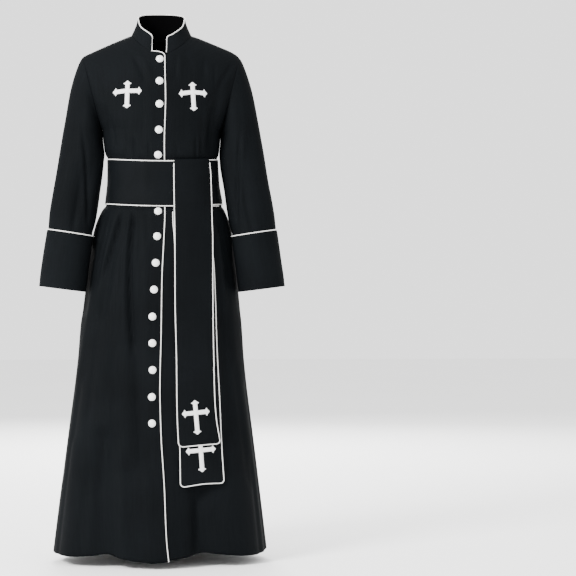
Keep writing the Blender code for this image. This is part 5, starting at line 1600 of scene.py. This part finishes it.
class ROBE_OT_falls(bpy.types.Operator):
    """Make the two falls of the belt and their piping"""
    bl_idname = "robe.falls"
    bl_label = "Falls"
    bl_options = {"REGISTER", "UNDO"}

    def execute(self, context):
        wall = context.scene.robe_cloth.fall_wall
        for word, build, flat, over in (
            ("front", fall_front_grid, (0.100, 0.79), ["cloth_belt"]),
            ("back", fall_back_grid, (0.107, 0.77), ["cloth_skirt_front_left"]),
        ):
            grid, first = build(26)
            grid[:, :, 1] -= wall / 2.0
            axis = grid.mean(axis=1) + np.array([0.0, 1.0, 0.0])
            tuck = first if word == "front" else 0
            item = fall_object("cloth_fall_" + word, grid, axis, wall, tuck)
            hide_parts("fall_" + word)
            middle = grid + np.array([0.0, wall / 2.0, 0.0])
            facing = np.broadcast_to(np.array([0.0, -1.0, 0.0]), grid.shape)
            line = rim_line(middle, facing, first, first, 14, 3, 0.0025)
            edge = cord_object("cord_fall_" + word, line, False, piping_finish())
            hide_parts("piping_fall_" + word)
        return {"FINISHED"}


def fall_object(name, grid, axis, wall, tuck):
    """A fall is a middle layer thickened to both sides where it folds over the belt."""
    grid = grid + np.array([0.0, wall / 2.0, 0.0])
    below = axis[tuck:]
    item = cloth_object(name, grid, False, np.vstack([np.repeat(below[:1], tuck, axis=0), below]),
                        wall, belt_cloth_finish())
    item.modifiers["Thickness"].offset = 0.0
    return item


# Buttons and crosses

ProfilePoint = namedtuple("ProfilePoint", "out up")
BUTTON_PROFILE = [ProfilePoint(*row) for row in (
    (0.0, 0.93), (0.14, 0.93), (0.2, 0.955), (0.27, 0.97), (0.34, 0.935), (0.5, 0.875),
    (0.66, 0.77), (0.8, 0.63), (0.91, 0.46), (0.98, 0.27), (1.0, 0.14), (0.97, 0.04), (0.9, 0.0),
    (0.0, 0.0),
)]


def button_mesh(name):
    """A domed button with a shallow ring at its crown."""
    trim = bpy.context.scene.robe_trim
    sides = trim.button_sides
    rings = BUTTON_PROFILE[1:-1]
    vertices = [(0.0, 0.0, BUTTON_PROFILE[0].up * trim.button_height)]
    for ring in rings:
        for k in range(sides):
            turn = 2.0 * math.pi * k / sides
            vertices.append((ring.out * trim.button_radius * math.cos(turn),
                             ring.out * trim.button_radius * math.sin(turn),
                             ring.up * trim.button_height))
    vertices.append((0.0, 0.0, 0.0))
    faces = [(0, 1 + k, 1 + (k + 1) % sides) for k in range(sides)]
    for i in range(len(rings) - 1):
        low, high = 1 + i * sides, 1 + (i + 1) * sides
        for k in range(sides):
            after = (k + 1) % sides
            faces.append((low + k, high + k, high + after, low + after))
    start, bottom = 1 + (len(rings) - 1) * sides, len(vertices) - 1
    faces += [(start + k, bottom, start + (k + 1) % sides) for k in range(sides)]
    mesh = bpy.data.meshes.new(name)
    mesh.from_pydata(vertices, [], faces)
    mesh.shade_smooth()
    return mesh


def seat_button(node, tree, point, normal):
    """Lay a button on the cloth, its back just clear of the highest spot under it."""
    trim = bpy.context.scene.robe_trim
    point, normal = Vector(point), Vector(normal).normalized()
    turn = normal.to_track_quat("Z", "Y").to_matrix().to_4x4()
    heights = []
    for share in (0.0, 0.5, 0.9):
        for k in range(12):
            angle = 2.0 * math.pi * k / 12
            offset = turn @ Vector((math.cos(angle), math.sin(angle), 0.0))
            above = point + offset * trim.button_radius * share + normal * 0.02
            hit = tree.ray_cast(above, -normal, 0.04)[0]
            if hit is not None:
                heights.append((hit - point).dot(normal))
    name = node.replace("button", "dome")
    mesh = button_mesh(name)
    mesh.transform(Matrix.Translation(point + normal * (max(heights) + 0.0001)) @ turn)
    item = add_piece(name, mesh, button_finish())
    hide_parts(node)


class ROBE_OT_buttons(bpy.types.Operator):
    """Make the buttons of the front and the cuffs"""
    bl_idname = "robe.buttons"
    bl_label = "Buttons"
    bl_options = {"REGISTER", "UNDO"}

    def execute(self, context):
        tree = surface_tree("cloth_bodice_front_right", "cloth_skirt_front_right")
        for number, place in enumerate(FRONT_BUTTONS, 1):
            level = level_of_drop(place.drop)
            position = position_at(place.x, level)
            normal = skin_normal(position, level)
            point = skin(position, level) + normal * lap_lift(place.x, level)
            seat_button(f"button_front_{number:02d}", tree, point, normal)
        curves = sleeve_curves(CUFF)
        trees = {side: surface_tree("cloth_cuff_" + word) for side, word in SIDE_WORDS.items()}
        counts = {-1: 0, 1: 0}
        for place in CUFF_BUTTONS:
            counts[place.side] += 1
            turn, station, step = math.radians(place.around), place.share * (len(CUFF) - 1), 0.05
            point = cuff_point(curves, station, turn, place.side, CUFF_STAND)
            around = cuff_point(curves, station, turn + step, place.side, CUFF_STAND) - point
            down = cuff_point(curves, station + step, turn, place.side, CUFF_STAND) - point
            node = f"button_cuff_{SIDE_WORDS[place.side]}_{counts[place.side]}"
            seat_button(node, trees[place.side], point, np.cross(around, down) * place.side)
        return {"FINISHED"}


def bar_outline(first, second):
    """Half widths along a bar whose two ends are barbed points: distance along, half width."""
    low = [(point.back - first, point.half) for point in BARB]
    high = [(second - point.back, point.half) for point in reversed(BARB)]
    inner_low, inner_high = low[-1][0], high[0][0]
    middle = [(inner_low + (inner_high - inner_low) * k / 14, ARM_HALF) for k in range(1, 14)]
    return low + middle + high


def make_cross(place, tree, height):
    """Two padded bars of satin stitch with a cord sewn round their outline."""
    trim = bpy.context.scene.robe_trim
    lean = math.radians(place.lean)
    across = 8

    def laid(u, v, rise):
        slope = place.left_arm if u < 0.0 else place.right_arm
        v -= (math.hypot(u, 0.006) - 0.006) * math.tan(math.radians(slope))
        x = place.x + u * math.cos(lean) - v * math.sin(lean)
        z = -place.drop + v * math.cos(lean) + u * math.sin(lean)
        hit, normal = tree.ray_cast(Vector((x, -1.0, z)), Vector((0.0, 1.0, 0.0)))[:2]
        return hit + normal * rise

    vertices, faces, coordinates = [], [], []
    bars = (((1.0, 0.0), bar_outline(place.side, place.side), 0.0),
            ((0.0, 1.0), bar_outline(place.down, place.up), 0.00035))
    cords = []
    for (du, dv), outline, lift in bars:
        start = len(vertices)
        edges = ([], [])
        for along, half in outline:
            for k in range(across + 1):
                side = 2.0 * k / across - 1.0
                dome = height * (0.35 + 0.65 * math.sqrt(max(1.0 - side * side, 0.0))) + lift
                u = du * along - dv * side * half
                v = dv * along + du * side * half
                vertices.append(laid(u, v, dome))
                coordinates.append((along, side * half))
            for number, side in ((0, -1.0), (1, 1.0)):
                u, v = du * along - dv * side * half, dv * along + du * side * half
                edges[number].append(laid(u, v, 0.0004 + lift))
        for i in range(len(outline) - 1):
            for k in range(across):
                a = start + i * (across + 1) + k
                faces.append((a, a + 1, a + across + 2, a + across + 1))
        cords.append(edges[0] + edges[1][::-1])
    mesh = bpy.data.meshes.new(place.name)
    mesh.from_pydata([tuple(vertex) for vertex in vertices], [], faces)
    if mesh.polygons[0].normal.y > 0.0:
        mesh.flip_normals()
    layer = mesh.uv_layers.new(name="cut")
    for loop in mesh.loops:
        layer.data[loop.index].uv = coordinates[loop.vertex_index]
    mesh.shade_smooth()
    finish = stitched_finish("white_satin_stitch", tuple(trim.cross_colour), trim.thread_pitch)
    item = add_piece("stitched_" + place.name, mesh, finish)
    thicken = item.modifiers.new("Padding", "SOLIDIFY")
    thicken.thickness = height * 0.5
    thicken.offset = -1.0
    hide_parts(place.name)
    for number, ring in enumerate(cords):
        name = f"edge_{place.name}_{number}"
        edge = cord_object(name, ring, True, edge_finish(), trim.cross_edge)


def edge_finish():
    trim = bpy.context.scene.robe_trim
    return stitched_finish("grey_edge_stitch", tuple(trim.edge_colour), trim.thread_pitch)


class ROBE_OT_crosses(bpy.types.Operator):
    """Make the four embroidered crosses"""
    bl_idname = "robe.crosses"
    bl_label = "Crosses"
    bl_options = {"REGISTER", "UNDO"}

    def execute(self, context):
        carriers = {
            "cross_chest_right": "cloth_bodice_front_right",
            "cross_chest_left": "cloth_bodice_front_left",
            "cross_fall_front": "cloth_fall_front",
            "cross_fall_back": "cloth_fall_back",
        }
        for place in CROSSES:
            tree = surface_tree(carriers[place.name])
            make_cross(place, tree, context.scene.robe_trim.cross_height)
        return {"FINISHED"}


# Stage

# The camera stands level before the robe and looks past its left side, as in the photo
CAMERA_DISTANCE = 5.0
CAMERA_DROP = 0.6756
CAMERA_ASIDE = 0.3365
FLOOR_REACH = 14.0


def area_light(name, place, aim, size, power):
    light = bpy.data.lights.new(name, "AREA")
    light.shape = "SQUARE"
    light.size = size
    light.energy = power
    item = bpy.data.objects.new(name, light)
    bpy.context.scene.collection.objects.link(item)
    item.location = place
    item.rotation_euler = (Vector(aim) - Vector(place)).to_track_quat("-Z", "Y").to_euler()


class ROBE_OT_stage(bpy.types.Operator):
    """Make the floor, the lights and the camera"""
    bl_idname = "robe.stage"
    bl_label = "Stage"
    bl_options = {"REGISTER", "UNDO"}

    def execute(self, context):
        stage = context.scene.robe_stage
        mesh = bpy.data.meshes.new("floor")
        corners = [(x * FLOOR_REACH, y * FLOOR_REACH, 0.0)
                   for x, y in ((-1, -1), (1, -1), (1, 1), (-1, 1))]
        mesh.from_pydata(corners, [], [(0, 1, 2, 3)])
        floor = bpy.data.objects.new("floor", mesh)
        context.scene.collection.objects.link(floor)
        mesh.materials.append(floor_finish(tuple(stage.floor_colour)))
        floor.location.z = -HEM_DROP - stage.floor_drop
        world = bpy.data.worlds.new("surround")
        context.scene.world = world
        world.use_nodes = True
        sky = world.node_tree.nodes["Background"]
        sky.inputs["Color"].default_value = (1.0, 1.0, 1.0, 1.0)
        sky.inputs["Strength"].default_value = stage.sky
        middle = (0.0, 0.0, -0.65)
        area_light("key", (-2.6, -2.7, 1.5), (0.0, 0.0, -0.45), 1.3, stage.key_power)
        area_light("fill", (3.0, -2.4, 0.1), middle, 2.0, stage.fill_power)
        area_light("back_left", (-0.4, 4.2, 1.5), middle, 1.2, stage.back_power)
        area_light("back_right", (0.7, 4.2, 0.9), middle, 1.2, 0.4 * stage.back_power)
        camera = bpy.data.cameras.new("camera")
        camera.lens = 117.5
        camera.sensor_width = 36.0
        item = bpy.data.objects.new("camera", camera)
        context.scene.collection.objects.link(item)
        item.location = (0.0, -CAMERA_DISTANCE, -CAMERA_DROP)
        turn = -math.atan(CAMERA_ASIDE / CAMERA_DISTANCE)
        item.rotation_euler = (math.radians(90.0), 0.0, turn)
        context.scene.camera = item
        return {"FINISHED"}


STEPS = (ROBE_OT_stage, ROBE_OT_fronts, ROBE_OT_backs, ROBE_OT_sleeves, ROBE_OT_collar,
         ROBE_OT_belt, ROBE_OT_falls, ROBE_OT_buttons, ROBE_OT_crosses)


class ROBE_PT_panel(bpy.types.Panel):
    """Sizes, colours and steps of the robe"""
    bl_idname = "ROBE_PT_panel"
    bl_label = "Clergy robe"
    bl_space_type = "VIEW_3D"
    bl_region_type = "UI"
    bl_category = "Robe"

    def draw(self, context):
        layout = self.layout
        for group in ("robe_cloth", "robe_trim", "robe_stage"):
            settings = getattr(context.scene, group)
            box = layout.box()
            for name in settings.__annotations__:
                box.prop(settings, name)
        for step in STEPS:
            layout.operator(step.bl_idname)


GROUPS = (("robe_cloth", RobeClothSizes), ("robe_trim", RobeTrimSizes),
          ("robe_stage", RobeStageSizes))


def register():
    for name, group in GROUPS:
        bpy.utils.register_class(group)
        setattr(bpy.types.Scene, name, PointerProperty(type=group))
    for step in STEPS:
        bpy.utils.register_class(step)
    bpy.utils.register_class(ROBE_PT_panel)


def unregister():
    bpy.utils.unregister_class(ROBE_PT_panel)
    for step in reversed(STEPS):
        bpy.utils.unregister_class(step)
    for name, group in reversed(GROUPS):
        delattr(bpy.types.Scene, name)
        bpy.utils.unregister_class(group)


def main():
    register()
    bpy.ops.robe.stage()
    bpy.ops.robe.fronts()
    bpy.ops.robe.backs()
    bpy.ops.robe.sleeves()
    bpy.ops.robe.collar()
    bpy.ops.robe.belt()
    bpy.ops.robe.falls()
    bpy.ops.robe.buttons()
    bpy.ops.robe.crosses()


if __name__ == "__main__":
    main()
